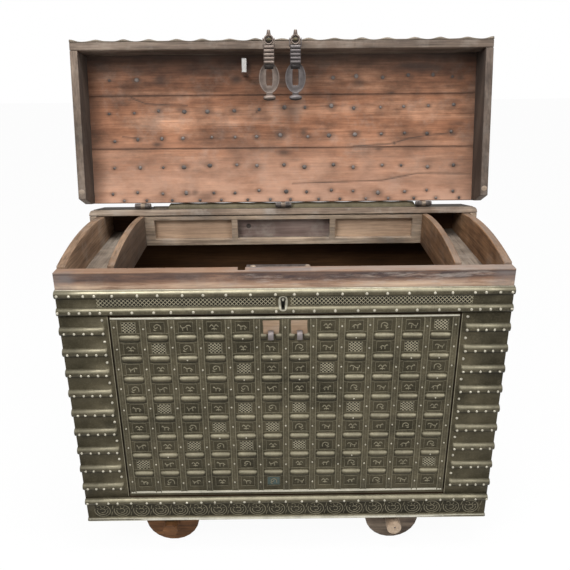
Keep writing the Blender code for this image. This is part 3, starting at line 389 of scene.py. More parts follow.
class Skin:
    """Collects vertices and faces in a chosen frame, with a wear_and_highlight, stain_and_shade and pale value at each
    vertex: rubbing and painted highlight, stains and painted shade, and paleness.
    """

    def __init__(self, place):
        self.place = place
        self.points = []
        self.faces = []
        self.tones = {"wear_and_highlight": [], "stain_and_shade": [], "pale": []}

    def point(self, u, v, h, *tones):
        self.points.append(tuple(self.place(u, v, h)))
        for number, values in enumerate(self.tones.values()):
            values.append(tones[number] if number < len(tones) else 0.0)
        return len(self.points) - 1

    def grid(self, rows):
        """Faces between rows of points."""
        for row, following in zip(rows, rows[1:]):
            for number in range(len(row) - 1):
                self.faces.append((row[number], row[number + 1], following[number + 1], following[number]))

    def tube(self, rings, caps=True):
        """Faces between closed rings of points, with a face over each end."""
        self.grid([ring + ring[:1] for ring in rings])
        if caps:
            self.faces += [tuple(rings[0]), tuple(rings[-1])]

    def pad(self, u, v, half_u, half_v, height, base=0.0, *tones):
        """A low flat field with edges that sink into the surface."""
        shares = (-1.0, -0.94, 0.0, 0.94, 1.0)
        rows = []
        for b in shares:
            rows.append([
                self.point(
                    u + half_u * a, v + half_v * b, base + (height if max(abs(a), abs(b)) < 1 else -0.0003), *tones
                )
                for a in shares
            ])
        self.grid(rows)

    def slab(self, outline, low, high, *tones):
        """A closed plate with a small chamfer round its face."""
        chamfer = 0.0006
        middle_u, middle_v = (sum(values) / len(outline) for values in zip(*outline))
        rings = []
        for inset, height in ((0.0, low), (0.0, high - chamfer), (chamfer, high)):
            rings.append([
                self.point(
                    u - math.copysign(min(inset, abs(u - middle_u)), u - middle_u),
                    v - math.copysign(min(inset, abs(v - middle_v)), v - middle_v), height, *tones,
                )
                for u, v in outline
            ])
        self.tube(rings)

    def ridge(self, path, width, height, base=0.0, wear_and_highlight=0.8, closed=False, taper=1.0):
        """A rounded bead that follows a path on the surface and tapers into it at its ends."""
        last = len(path) - 1
        rows = []
        for number, (u, v) in enumerate(path):
            before = path[number - 1] if number or closed else path[0]
            after = path[(number + 1) % len(path)] if number < last or closed else path[-1]
            du, dv = after[0] - before[0], after[1] - before[1]
            size = math.hypot(du, dv) or 1.0
            nu, nv = -dv / size, du / size
            end = not closed and number in (0, last)
            wide = width * (1 + (taper - 1) * number / max(1, last))
            rows.append([
                self.point(
                    u + nu * wide * side, v + nv * wide * side,
                    base + height * rise * (0.2 if end else 1.0), wear_and_highlight * rise,
                )
                for side, rise in ((-0.5, -0.15), (-0.28, 0.72), (0.0, 1.0), (0.28, 0.72), (0.5, -0.15))
            ])
        if closed:
            rows.append(rows[0])
        self.grid(rows)

    def line(self, start, end, *bead):
        """A straight bead between two points."""
        middle = tuple((a + b) / 2 for a, b in zip(start, end))
        self.ridge([start, middle, end], *bead)

    def dome(self, u, v, radius, height, base=0.0, wear_and_highlight=0.9, sides=9):
        """A domed nail head with a slightly irregular rim."""
        turn = RNG.random() * 6.28
        squeeze = 0.9 + 0.2 * RNG.random()
        rings = []
        for share, rise, shine in ((1.0, -0.1, 0.25), (0.93, 0.35, 0.55), (0.62, 0.82, 0.95)):
            rings.append([
                self.point(
                    u + radius * share * squeeze * math.cos(angle), v + radius * share * math.sin(angle) / squeeze,
                    base + height * rise, wear_and_highlight * shine,
                )
                for angle in angles(sides, turn)
            ])
        self.tube(rings, caps=False)
        top = self.point(u, v, base + height, wear_and_highlight)
        inner = rings[-1]
        self.faces += [(*pair, top) for pair in zip(inner, inner[1:] + inner[:1])]

    def build(self, name, material, body, replaces=(), smooth=True):
        mesh = bpy.data.meshes.new(name)
        mesh.from_pydata(self.points, [], self.faces)
        for label, values in self.tones.items():
            if any(values):
                mesh.attributes.new(label, "FLOAT", "POINT").data.foreach_set("value", values)
        if smooth:
            mesh.shade_smooth()
        work = bmesh.new()
        work.from_mesh(mesh)
        bmesh.ops.recalc_face_normals(work, faces=work.faces)
        work.to_mesh(mesh)
        work.free()
        return keep(name, mesh, material, body, replaces)


def keep(name, mesh, material, body, replaces=()):
    made = bpy.data.objects.new(name, mesh)
    bpy.context.scene.collection.objects.link(made)
    mesh.materials.clear()
    mesh.materials.append(material)
    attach(made, body)
    if replaces:
        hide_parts(*replaces)
    return made


def as_given(u, v, h):
    return (u, v, h)


def on_front(u, v, h):
    return (u, SHEET - h, v)


def on_lid(u, v, h):
    """u across, v from the hinge towards the lid's front, h off the inside of the planks."""
    return LID @ Vector((u, -v, -h))


def on_side(side):
    """u from the front to the back, v up, h off the end's wood."""
    return lambda u, v, h: (side * (HALF + CLEARANCE + h), FRONT + u, v)


def lid_corners(node):
    """A node's vertices in the lid's own frame."""
    inverse = LID.inverted()
    return [inverse @ vertex.co for vertex in NODES[node].data.vertices]


def smooth_copy(node, material, width, angle=30, tone=None):
    """The node's own shape with its edges worn round; tone gives the stain_and_shade value, for stains and painted
    shade, and the paleness at a place.
    """
    source = NODES[node]
    mesh = source.data.copy()
    work = bmesh.new()
    work.from_mesh(mesh)
    bmesh.ops.remove_doubles(work, verts=work.verts, dist=0.00002)
    bmesh.ops.dissolve_limit(work, angle_limit=math.radians(1), verts=work.verts, edges=work.edges)
    sharp = [edge for edge in work.edges if len(edge.link_faces) == 2 and edge.calc_face_angle() > math.radians(angle)]
    bmesh.ops.bevel(work, geom=sharp, offset=width, segments=3, profile=0.6, affect="EDGES", clamp_overlap=True)
    work.to_mesh(mesh)
    work.free()
    mesh.shade_smooth()
    mesh.set_sharp_from_angle(angle=math.radians(50))
    if tone:
        tones = zip(*(tone(vertex.co) for vertex in mesh.vertices))
        for label, values in zip(("stain_and_shade", "pale"), tones):
            mesh.attributes.new(label, "FLOAT", "POINT").data.foreach_set("value", values)
    keep(f"worn_{node}", mesh, material, body_of(source)[0], (node,))


def dress(material, *nodes):
    """Give nodes that keep their shape a better material."""
    for node in nodes:
        for slot in NODES[node].material_slots:
            slot.material = material


# Brass bands and corners

SKIN = 0.0012
END_SHARE = 0.12
# Half-round ribs: middle, half width, rise and strength of the painted highlight along their upper side
UPPER = (BAND_TOP - 0.012, 0.011, 0.009, 0.92)
LOWER = (BAND_LOW + 0.012, 0.011, 0.009, 0.6)
BASE = (SILL - 0.012, 0.011, 0.009, 0.9)
LIP = (LIFT + 0.007, 0.006, 0.006, 0.6)
RIB_PITCH = 0.0609
RIBS = [((SILL + BAND_LOW) / 2 + (number - 4) * RIB_PITCH, 0.012, 0.009, 0.62) for number in range(9)]
END_DEPTH = BACK - FRONT - 0.002
KEYHOLE = (-0.005, BAND_TOP - 0.0315)
KEYHOLE_REACH = 0.007
KEYHOLE_HEAD = 0.0052
KEYHOLE_SLOT_HALF = 0.0026
KEYHOLE_FOOT = -0.0210
PLATE_HALF = (0.0118, 0.0200)
PLATE_DROP = 0.0075
CORNER_FLAT = 0.0105
# Nail heads: radius and height
RIB_NAIL = (0.0040, 0.0036)
BAND_NAIL = (0.0042, 0.0036)
LIP_NAIL = (0.0022, 0.0018)
CORNER_NAIL = (0.0042, 0.0034)
# Beads: width, height, base and wear
BAND_HATCH = (0.0024, 0.0014, SKIN, 1.0)
BAND_EDGE = (0.0018, 0.0012, SKIN, 0.6)
CORNER_EDGE = (0.003, 0.002, 0.001, 0.6)
SCROLL = (0.0032, 0.0016, SKIN, 0.42)
SCROLL_LEAF = (0.0034, 0.0015, SKIN, 0.42)
SCROLL_LINK = (0.0028, 0.0014, SKIN, 0.35)
SCROLL_EDGE = (0.002, 0.0014, SKIN, 0.4)


def bulge(z, ribs):
    """Height of the half-round ribs at a level, the painted highlight along their upper side, and the painted shade on
    their lower side and just under them.
    """
    for middle, half, rise, highlight_strength in ribs:
        offset = (z - middle) / half
        if abs(offset) < 1:
            shape = math.sqrt(1 - offset * offset)
            # Painted highlight on the rib's upper side, painted shade on its lower side and in a band under it
            light = highlight_strength * math.exp(-(((offset - 0.62) / 0.30) ** 2)) + 0.08
            dark = max(0.0, -0.45 - offset) / 0.55
            return rise * shape, light * (1 - dark), 0.8 * dark
        if -1.35 < offset <= -1:
            return 0.0, 0.0, 0.8 * (1.35 + offset) / 0.35
    return 0.0, 0.0, 0.0


def levels(low, high, ribs):
    """Heights at which a section needs points."""
    found = {low, high}
    for middle, half, _, _ in ribs:
        found.update(middle + half * math.sin(step / 10 * math.pi / 2) * 1.0001 for step in range(-10, 11))
        found.update((middle - 1.12 * half, middle - 1.38 * half))
    return {z for z in found if low <= z <= high}


def corner_place(where, distance, h, z):
    if where == "front":
        return (distance, SHEET - h, z)
    side = 1 if where.endswith("right") else -1
    out = HALF + CLEARANCE + (h if h < SKIN else SKIN + (h - SKIN) * END_SHARE)
    if where.startswith("mitre"):
        return (side * out, SHEET - h, z)
    return (side * out, FRONT + distance, z)


def in_hole(corners, hole):
    x, _, z = (sum(values) / len(corners) for values in zip(*corners))
    return hole[0] < x < hole[1] and hole[2] < z < hole[3] and max(corner[1] for corner in corners) < FRONT + 0.001


def wrap(name, low, high, ribs, stops, node, hole=None):
    """A skin of ribs that runs along the front and turns both corners, or one.

    Each stop is (place along, where it is, share of the ribs' height); a hole is (low x, high x, low z, high z).
    """
    skin = Skin(as_given)
    rows = []
    for where, distance, share in stops:
        row = []
        for z in sorted({*levels(low, high, ribs), *(hole[2:] if hole else ())}):
            # Each point takes the ribs' painted highlight and painted shade from bulge
            rise, wear_and_highlight, painted_shade = bulge(z, ribs)
            place = corner_place(where, distance, SKIN + rise * share, z)
            row.append(skin.point(*place, wear_and_highlight * share, painted_shade * share))
        foot, head = (skin.point(*corner_place(where, distance, 0.0, z)) for z in (low, high))
        rows.append([foot, *row, head])
    skin.grid(rows)
    if hole:
        skin.faces = [face for face in skin.faces if not in_hole([skin.points[n] for n in face], hole)]
    skin.build(name, BRASS, "chest", (node,))


def bands():
    x, z = KEYHOLE
    hole = (x - KEYHOLE_REACH, x + KEYHOLE_REACH, z - 0.0215, z + 0.006)
    around = [
        ("end_left", END_DEPTH, 1), ("end_left", 0.03, 1), ("mitre_left", 0, 1), ("front", -0.5, 1),
        ("front", hole[0], 1), ("front", hole[1], 1), ("front", 0.5, 1),
        ("mitre_right", 0, 1), ("end_right", 0.03, 1), ("end_right", END_DEPTH, 1),
    ]
    wrap("band_upper", BAND_LOW, BAND_TOP, [LOWER, UPPER], around, "lock_band", hole)
    escutcheon()
    wrap("band_lower", LIFT, SILL, [LIP, BASE], around, "base_band")
    edge = OPENING + CORNER_FLAT
    for name, side in SIDES:
        stops = [
            ("front", side * OPENING, 0), ("front", side * edge, 0), ("front", side * (edge + 0.002), 0.75),
            ("front", side * (edge + 0.006), 1), (f"mitre_{name}", 0, 1), (f"end_{name}", 0.03, 1),
            (f"end_{name}", END_DEPTH, 1),
        ]
        low, high = SILL + CLEARANCE, BAND_LOW - CLEARANCE
        wrap(f"corner_{name}", low, high, RIBS, stops, f"corner_cladding_{name}")


def escutcheon():
    """A pale plate round the keyhole, with the hole's walls running back into the rail and a pin in its head; the walls
    and a pad in the slot are painted near black as shade in the hole, and the plate is darker at its outer foot.
    """
    skin = Skin(on_front)
    x, z = KEYHOLE
    rings = []
    for share, height, wear_and_highlight, stain_and_shade in (
        (1.0, 0.0004, 0.1, 0.4), (0.97, 0.0016, 0.4, 0.0), (0.6, 0.0018, 0.3, 0.0), (0.34, 0.0017, 0.2, 0.3),
        (0.24, 0.0014, 0.0, 0.95), (0.0, 0.0012, 0.0, 0.97), (0.0, None, 0.0, 0.97),
    ):
        ring = []
        for angle in angles(40, math.pi / 2):
            inner = keyhole_edge(math.cos(angle), math.sin(angle))
            outer = [
                reach * math.copysign(abs(part) ** 0.75, part)
                for reach, part in zip(PLATE_HALF, (math.cos(angle), math.sin(angle)))
            ]
            u = x + inner[0] + (outer[0] - inner[0]) * share
            v = z + inner[1] + (outer[1] - PLATE_DROP - inner[1]) * share
            h = -0.004 if height is None else SKIN + bulge(v, [LOWER, UPPER])[0] + height
            ring.append(skin.point(u, v, h, wear_and_highlight, stain_and_shade))
        rings.append(ring)
    skin.tube(rings, caps=False)
    # A near-black pad in the slot: painted shade in the hole
    skin.pad(x, z - 0.0135, 0.0032, 0.0085, 0.0002, 0.0, 0.0, 0.99)
    skin.dome(x, z, 0.0040, 0.0012, 0.0, 0.5, 14)
    skin.build("keyhole_plate", EDGE, "chest")


def keyhole_edge(u, v):
    """Where a ray from the keyhole's middle meets its edge: a round head over a straight slot."""
    middle = -0.006
    if v < -0.35:
        across = max(-KEYHOLE_SLOT_HALF, min(KEYHOLE_SLOT_HALF, 0.012 * u))
        return (across, max(KEYHOLE_FOOT, (middle + 0.0160 * v) * 1.02))
    if v > 0.2:
        return (KEYHOLE_HEAD * u, KEYHOLE_HEAD * v)
    return (0.0027 * (1 if u > 0 else -1), middle + 0.004 * v)


def spaced(low, high, pitch, wobble=0.12):
    """Places at about even steps."""
    count = max(1, round((high - low) / pitch))
    return [low + (high - low) * (number + RNG.uniform(-wobble, wobble)) / count for number in range(count + 1)]


def nail_row(skin, places, rib, drop, nail=RIB_NAIL, share=1.0):
    """Nails along a rib, a little under its middle."""
    level = rib[0] - drop
    for place in places:
        skin.dome(place, level, *nail, SKIN + bulge(level, [rib])[0] * share - 0.0004)


def front_nails():
    skin = Skin(on_front)
    ends = spaced(0.474, 0.57, 0.032)
    nail_row(skin, [-x for x in ends] + spaced(-0.425, 0.425, 0.055) + ends, UPPER, 0.0015, BAND_NAIL)
    places = spaced(-0.57, -0.468, 0.025) + spaced(-0.435, 0.435, 0.051) + spaced(0.468, 0.57, 0.025)
    nail_row(skin, places, LOWER, 0.0005, BAND_NAIL)
    places = spaced(-0.57, -0.48, 0.030) + spaced(-0.445, 0.445, 0.041) + spaced(0.48, 0.57, 0.030)
    nail_row(skin, places, BASE, 0.002)
    for _, side in SIDES:
        for rib in RIBS:
            nail_row(skin, [side * x for x in spaced(OPENING + 0.0165, HALF - 0.012, 0.0235)], rib, 0.0045)
            skin.dome(side * (OPENING + 0.0155), rib[0] + 0.030, *CORNER_NAIL, 0.0008)
    nail_row(skin, spaced(-0.45, 0.45, 0.16), LIP, -0.002, LIP_NAIL)
    skin.build("front_nails", NAIL, "chest")
    for name, side in SIDES:
        skin = Skin(on_side(side))
        for rib in [*RIBS, UPPER, LOWER, BASE]:
            nail_row(skin, spaced(0.012, END_DEPTH - 0.012, 0.049), rib, 0.003, share=END_SHARE)
        skin.build(f"end_nails_{name}", NAIL, "chest")


def clip(path, low_u, high_u, low_v, high_v):
    """The part of a straight line inside a rectangle."""
    (u0, v0), (u1, v1) = path
    start, end = 0.0, 1.0
    for origin, change, low, high in ((u0, u1 - u0, low_u, high_u), (v0, v1 - v0, low_v, high_v)):
        first, second = sorted(((low - origin) / change, (high - origin) / change))
        start, end = max(start, first), min(end, second)
    if end - start < 0.02:
        return None
    return [(u0 + (u1 - u0) * share, v0 + (v1 - v0) * share) for share in (start, (start + end) / 2, end)]


def hatch(skin, low_u, high_u, low_v, high_v, pitch, slope, *bead):
    """Two crossing sets of raised diagonal lines."""
    run = (high_v - low_v) / slope
    count = int((high_u - low_u + run) / pitch) + 1
    for number in range(count + 1):
        start = low_u - run + number * pitch
        for path in (((start, low_v), (start + run, high_v)), ((start, high_v), (start + run, low_v))):
            inside = clip(path, low_u, high_u, low_v, high_v)
            if inside:
                skin.ridge(inside, *bead)


def curve(points, steps=4):
    """A smooth path through a few points."""
    result = []
    padded = [points[0], *points, points[-1]]
    for number in range(1, len(padded) - 2):
        p0, p1, p2, p3 = padded[number - 1:number + 3]
        for step in range(steps):
            t = step / steps
            result.append(tuple(
                0.5 * (2 * b + (c - a) * t + (2 * a - 5 * b + 4 * c - d) * t * t + (3 * b - a - 3 * c + d) * t ** 3)
                for a, b, c, d in zip(p0, p1, p2, p3)
            ))
    result.append(points[-1])
    return result


SCROLL_PITCH = 0.056
SCROLL_REACH = 0.0225


def base_scrolls(skin, low, high):
    """A row of scrolls with leaf strokes along the base, and short strokes between them."""
    middle, reach = (low + high) / 2, (high - low) / 2
    skin.pad(0, middle, HALF - 0.004, reach * 0.98, 0.0003, SKIN, 0, 0.6)
    count = int(2 * (HALF - 0.006) / SCROLL_PITCH)
    for number in range(count):
        x = (number - (count - 1) / 2) * SCROLL_PITCH

        def place(degrees, share):
            angle = math.radians(degrees)
            return (
                x + share * SCROLL_REACH * math.cos(angle), middle + share * (reach * 0.95) * math.sin(angle)
            )

        for share, begin, end in ((1.0, -200, 130), (0.68, -190, 15), (0.34, -120, 160)):
            skin.ridge([place(degrees, share) for degrees in range(begin, end + 1, 15)], *SCROLL)
        for degrees in (25, 65, 105, 150):
            leaf = [place(degrees, share) for share in (0.48, 0.62, 0.82)]
            skin.ridge(leaf, *SCROLL_LEAF, taper=0.6)
        gap = x + SCROLL_PITCH / 2
        for turn in (-1, 1):
            start = (gap + turn * 0.004, middle + turn * reach * 0.9)
            skin.line(start, (gap, middle + turn * 0.004), *SCROLL_LINK)
    skin.line((-HALF, high), (HALF, high), *SCROLL_EDGE)


def band_patterns():
    skin = Skin(on_front)
    low, high = LOWER[0] + 0.0118, UPPER[0] - 0.0118
    for begin, end in ((-0.474, -0.024), (0.014, 0.474)):
        skin.pad((begin + end) / 2, (low + high) / 2, (end - begin) / 2, (high - low) / 2, 0.0003, SKIN, 0, 0.96)
        hatch(skin, begin, end, low + 0.001, high - 0.001, 0.0105, 1.0, *BAND_HATCH)
        for level in (low, high):
            skin.line((begin, level), (end, level), *BAND_EDGE)
    base_scrolls(skin, LIP[0] + 0.0075, BASE[0] - 0.0125)
    for _, side in SIDES:
        x = side * (OPENING + 0.0015)
        skin.line((x, SILL + 0.004), (x, BAND_LOW - 0.004), *CORNER_EDGE)
    skin.build("band_relief", BRASS, "chest")
    skin = Skin(on_front)
    for level, *bead in ((LIFT + 0.0072, 0.0100, 0.0024, 0.0062, 1.0), (BAND_TOP - 0.0015, 0.004, 0.0024, 0.002, 0.45)):
        skin.line((-HALF, level), (HALF, level), *bead)
    skin.build("worn_edges", EDGE, "chest")


# Door

DOOR_FACE = 0.0012
DOOR_MARGIN = 0.009
CELL_HALF = (0.0185, 0.0150)
BAR_HALF = 0.0110
BAR_RISE = 0.0080
STUB_RISE = 0.0024
BAR_EDGE_PLACE = 0.0130
# Beads and nails of the door, as above
CELL_RIM = (0.0034, 0.0020, DOOR_FACE, 0.3)
CELL_HATCH = (0.0024, 0.0016, DOOR_FACE, 1.0)
FIGURE = (0.0036, 0.0024, DOOR_FACE, 0.6)
BAR_EDGE = (0.0024, 0.0016, DOOR_FACE, 0.35)
STRIP_NAIL = (0.0028, 0.0024)
BAR_NAIL = (0.0024, 0.0018)
# Columns of the latticed cells in each row
LATTICED = {
    0: (0, 11), 1: (1, 3, 8, 10), 2: (4, 7), 4: (1, 4, 6, 8, 10), 5: (3, 5), 6: (2, 4, 6), 7: (0, 11),
}
# Strokes of the figures in the other cells
MOTIFS = (
    [
        [(-0.010, -0.004), (-0.004, 0.002), (0.004, 0.001), (0.010, 0.006)], [(-0.006, -0.009), (-0.005, -0.003)],
        [(0.004, -0.009), (0.004, -0.001)], [(0.010, 0.006), (0.012, 0.002)],
    ],
    [
        [(-0.011, 0.000), (-0.005, 0.006), (0.000, 0.001), (0.006, 0.006), (0.011, 0.001)],
        [(0.000, -0.009), (0.000, 0.001)], [(-0.007, -0.006), (0.000, -0.004), (0.007, -0.006)],
    ],
    [
        [(-0.010, 0.005), (-0.003, 0.004), (0.003, -0.001), (0.010, -0.001)], [(-0.010, 0.005), (-0.012, 0.001)],
        [(-0.004, -0.009), (-0.003, 0.001)], [(0.007, -0.009), (0.008, -0.002)], [(0.010, -0.001), (0.012, 0.005)],
    ],
    [
        [(-0.009, -0.007), (-0.008, 0.004), (0.000, 0.008), (0.008, 0.003), (0.004, -0.003), (-0.001, 0.001)],
        [(0.003, -0.009), (0.010, -0.006)],
    ],
)
# Section of a strip: share of its half width, rise and wear
STRIP_SECTION = mirrored(
    [(-1.0, -0.0002, 0.0), (-0.94, 0.0024, 0.22), (-0.72, 0.0030, 0.30), (-0.55, 0.0018, 0.0)], (0.0, 0.0020, 0.1)
)


def bar(skin, x, z, half, rise):
    """A half-round bar with rounded ends, with a painted highlight along its upper side and painted shade on its
    underside.
    """
    rows = []
    for along in (-1.0, -0.97, -0.9, -0.78, -0.4, 0.0, 0.4, 0.78, 0.9, 0.97, 1.0):
        taper = max(0.05, 1 - abs(along) ** 9)
        row = []
        for step in range(11):
            angle = math.pi * step / 10
            up = math.cos(angle) * BAR_HALF * (0.5 + 0.5 * taper)
            out = math.sin(angle) * rise * taper
            shine = 0.95 * math.exp(-(((angle - 1.0) / 0.34) ** 2)) * taper
            painted_shade = 0.82 * max(0.0, min(1.0, (angle - 1.75) / 0.8))
            row.append(skin.point(x + along * half, z + up, DOOR_FACE + out - 0.0004, shine, painted_shade))
        rows.append(row)
    skin.grid(rows)


def door_bolsters():
    """Half-round bars between the rows of cells, low stubs beside the staples, and the flat strips that they meet."""
    skin = Skin(on_front)
    half = (PITCH - STRIP) / 2 + 0.001
    staple_half = 0.0105
    for row in range(ROWS - 1):
        z = FIRST_BAR + row * ROW_PITCH
        for column in range(COLUMNS):
            x = column_x(column)
            if row == ROWS - 2 and column in STAPLED:
                for _, side in SIDES:
                    bar(skin, x + side * (half + staple_half) / 2, z + 0.001, (half - staple_half) / 2, STUB_RISE)
                continue
            bar(skin, x, z, half, BAR_RISE * RNG.uniform(0.92, 1.06))
            for level in (z - BAR_EDGE_PLACE, z + BAR_EDGE_PLACE):
                skin.line((x - half, level), (x + half, level), *BAR_EDGE)
    low, high = DOOR_LOW + DOOR_MARGIN, DOOR_TOP - DOOR_MARGIN
    for number in range(COLUMNS + 1):
        x = strip_x(number)
        # The outer flank of the first and last strips is painted near black: painted shade in the gap at the door's
        # sides
        outward = 2 * number / COLUMNS - 1 if number in (0, COLUMNS) else 0
        rows = []
        for z in (low, low + 0.002, *(low + (high - low) * n / 12 for n in range(1, 12)), high - 0.002, high):
            flat = z in (low, high)
            rows.append([
                skin.point(
                    x + across * STRIP / 2, z, DOOR_FACE + (0.0 if flat else rise), shine,
                    0.9 if across * outward > 0.9 else 0.0,
                )
                for across, rise, shine in STRIP_SECTION
            ])
        skin.grid(rows)
    skin.build("door_bolsters", BRASS, "door", ("door_lattice",))


def door_cells():
    """Framed cells, each with a lattice or a figure; one near the bottom is green."""
    skin = Skin(on_front)
    half_u, half_v = CELL_HALF
    for row in range(ROWS):
        for column in range(COLUMNS):
            if row == 0 and column in STAPLED:
                continue
            x, z = column_x(column), row_z(row)
            latticed = column in LATTICED.get(row, ())
            green = 0.22 if row == ROWS - 1 and column == 5 else 0.0
            skin.pad(x, z, half_u - 0.001, half_v - 0.001, 0.0003, DOOR_FACE, 0, 0.85 if latticed else 0.25, green)
            rim = rectangle(x - half_u, x + half_u, z - half_v, z + half_v)
            skin.ridge(rim, *CELL_RIM, closed=True)
            if latticed:
                inside = (x - half_u + 0.001, x + half_u - 0.001, z - half_v + 0.001, z + half_v - 0.001)
                hatch(skin, *inside, 0.0095, 0.85, *CELL_HATCH)
                continue
            side = -1 if column < COLUMNS / 2 else 1
            swell = RNG.uniform(0.9, 1.1)
            for stroke in MOTIFS[(row * 5 + column * 3) % len(MOTIFS)]:
                path = [(x + side * u * swell, z + v * swell) for u, v in stroke]
                skin.ridge(curve(path), *FIGURE)
    skin.build("door_cells", BRASS, "door")


def door_nails():
    """Nails along the strips and on some of the bars, and the bright edges above and below."""
    skin = Skin(on_front)
    for number in range(COLUMNS + 1):
        for row in range(ROWS):
            z = row_z(row) + RNG.uniform(-0.004, 0.004)
            if z < DOOR_LOW + 0.032:
                z = DOOR_LOW + 0.034
            skin.dome(strip_x(number) + RNG.uniform(-0.001, 0.001), z, *STRIP_NAIL, DOOR_FACE + 0.0018, 0.8, 7)
    for row in range(ROWS - 1):
        z = FIRST_BAR + row * ROW_PITCH - 0.001
        for column in range(COLUMNS):
            if RNG.random() < 0.3 and not (row == ROWS - 2 and column in STAPLED):
                skin.dome(column_x(column), z, *BAR_NAIL, DOOR_FACE + 0.0074, 0.7, 7)
    skin.build("door_nails", NAIL, "door")
    skin = Skin(on_front)
    end = DOOR_HALF - 0.002
    for level, *bead in (
        (DOOR_TOP - 0.0045, 0.0070, 0.0042, 0.0008, 0.85), (DOOR_LOW + 0.0125, 0.0085, 0.0028, 0.0026, 0.7),
    ):
        skin.ridge([(x, level) for x in (-end, -0.2, 0.2, end)], *bead)
    skin.build("door_edges", EDGE, "door")


def door_hardware():
    """Bare wood under the two staples, and the staples themselves."""
    skin = Skin(on_front)
    for column in STAPLED:
        x, z = column_x(column), row_z(0)
        rows = []
        # The patch's lower edge is darker: painted shade under the staple
        for v, low_v in ((-0.0225, True), (-0.0215, False), (0.0, False), (0.0155, False), (0.0165, True)):
            rows.append([
                skin.point(
                    x + u + RNG.uniform(-0.001, 0.001), z + v, DOOR_FACE + (0.0 if low_u or low_v else 0.0012), 0.0,
                    0.45 if low_v and v < 0 else 0.0,
                )
                for u, low_u in mirrored([(-0.0210, True), (-0.0195, False)], (0.0, False))
            ])
        skin.grid(rows)
    skin.build("bare_patches", PATCH_WOOD, "door", smooth=False)
    section = ((-1, 0), (-1, 1), (-0.8, 1.15), (0.8, 1.15), (1, 1), (1, 0), (0.8, -0.1), (-0.8, -0.1))
    steps = 18
    for name, _ in SIDES:
        low, high = (Vector(corner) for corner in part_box(f"door_staple_{name}"))
        middle = (low + high) / 2
        reach, half = high.y - low.y, (high.z - low.z) / 2
        skin = Skin(as_given)
        rings = []
        for step in range(steps + 1):
            angle = math.pi * step / steps
            out, up = math.sin(angle) ** 0.6 if 0 < step < steps else 0.0, math.cos(angle)
            ring = []
            for across, depth in section:
                thick = 0.003 * (1 - depth)
                ring.append(skin.point(
                    middle.x + across * (high.x - low.x) / 2, high.y - out * (reach - thick) - 0.0002 * depth,
                    middle.z + up * (half - thick), 0.9 if depth > 0.5 else 0.3,
                ))
            rings.append(ring)
        skin.tube(rings)
        skin.build(f"staple_{name}", IRON_GREY, "door", (f"door_staple_{name}",))


# Lid

LID_LENGTH = 0.462
LID_RIB_PITCH = 0.0745
LID_NAIL_PITCH = 0.0735
LID_TOP_NAIL = (0.0040, 0.0034)
RIM_PLUG = (0.0084, 0.0012)
# Thickness of the skin over the lid's front: least, at a rib and in its ripples
FRONT_SKIN = (0.0014, 0.0052, 0.0010)
ALONG_LID = range(-7, 8)
# Distance of each row of nails from the hinge, and its slope; the last row has a gap behind the hasps
NAIL_ROWS = ((0.0395, -0.002), (0.1165, -0.005), (0.204, 0.021), (0.287, 0.017), (0.3775, 0.003))
NAIL_GAP = range(-5, 2)
PLANK_EDGES = (0.0085, 0.171, 0.326, LID_LENGTH)
PLANK_DEPTH = 0.024
CRACKS = (
    ((0.026, 0.064), (0.30, 0.071), (0.407, 0.091), (0.573, 0.089)),
    ((0.212, 0.174), (0.327, 0.180), (0.379, 0.195), (0.434, 0.204), (0.517, 0.211)),
    ((-0.453, 0.322), (-0.411, 0.304), (-0.346, 0.299), (-0.282, 0.297)),
    ((-0.485, 0.208), (-0.443, 0.204)),
)
# Stains: place across, distance from the hinge, two radii and strength
BLOTCHES = (
    (0.337, 0.182, 0.006, 0.006, 0.95), (0.513, 0.209, 0.015, 0.008, 0.6), (0.531, 0.240, 0.030, 0.008, 0.4),
    (0.327, 0.328, 0.012, 0.005, 0.9), (0.226, 0.364, 0.022, 0.020, 0.5), (0.063, 0.215, 0.012, 0.016, 0.5),
    (0.29, 0.168, 0.014, 0.009, 0.5), (0.002, 0.158, 0.025, 0.012, 0.6), (-0.379, 0.184, 0.018, 0.010, 0.6),
    (-0.439, 0.204, 0.010, 0.009, 0.5), (-0.362, 0.371, 0.028, 0.022, 0.55), (-0.304, 0.285, 0.024, 0.010, 0.55),
    (-0.077, 0.277, 0.005, 0.005, 0.95), (-0.081, 0.117, 0.026, 0.022, 0.45), (0.028, 0.278, 0.032, 0.034, 0.42),
    (0.0, 0.375, 0.13, 0.045, 0.5), (-0.135, 0.372, 0.024, 0.020, 0.6), (-0.235, 0.024, 0.034, 0.016, 0.45),
    (-0.27, 0.040, 0.014, 0.011, 0.5), (0.10, 0.330, 0.030, 0.016, 0.4), (0.44, 0.125, 0.030, 0.014, 0.35),
    (0.53, 0.372, 0.018, 0.013, 0.5), (0.385, 0.375, 0.016, 0.012, 0.45), (0.50, 0.300, 0.040, 0.012, 0.3),
    (-0.105, 0.408, 0.024, 0.045, 0.85), (-0.056, 0.266, 0.024, 0.030, 0.3), (0.40, 0.405, 0.14, 0.025, 0.7),
)


def lid_nail_places():
    places = []
    for row, (v, slope) in enumerate(NAIL_ROWS):
        for number in ALONG_LID:
            if row == len(NAIL_ROWS) - 1 and number in NAIL_GAP:
                continue
            u = number * LID_NAIL_PITCH + RNG.uniform(-0.009, 0.009)
            size = RNG.choice((0.0042, 0.0048, 0.0056, 0.0068))
            places.append((u, v + slope * u + RNG.uniform(-0.005, 0.005), size))
    for number in ALONG_LID:
        places.append((number * LID_NAIL_PITCH + 0.03 + RNG.uniform(-0.01, 0.01), 0.0165, 0.0045))
    return places


def crack_depth(u, v):
    """How near a point of the planks is to a crack, from 0 to 1."""
    depth = 0.0
    for path in CRACKS:
        for start, end in zip(path, path[1:]):
            if start[0] <= u <= end[0]:
                line = start[1] + (end[1] - start[1]) * (u - start[0]) / (end[0] - start[0])
                depth = max(depth, 1 - abs(v - line) / 0.0034)
    return depth


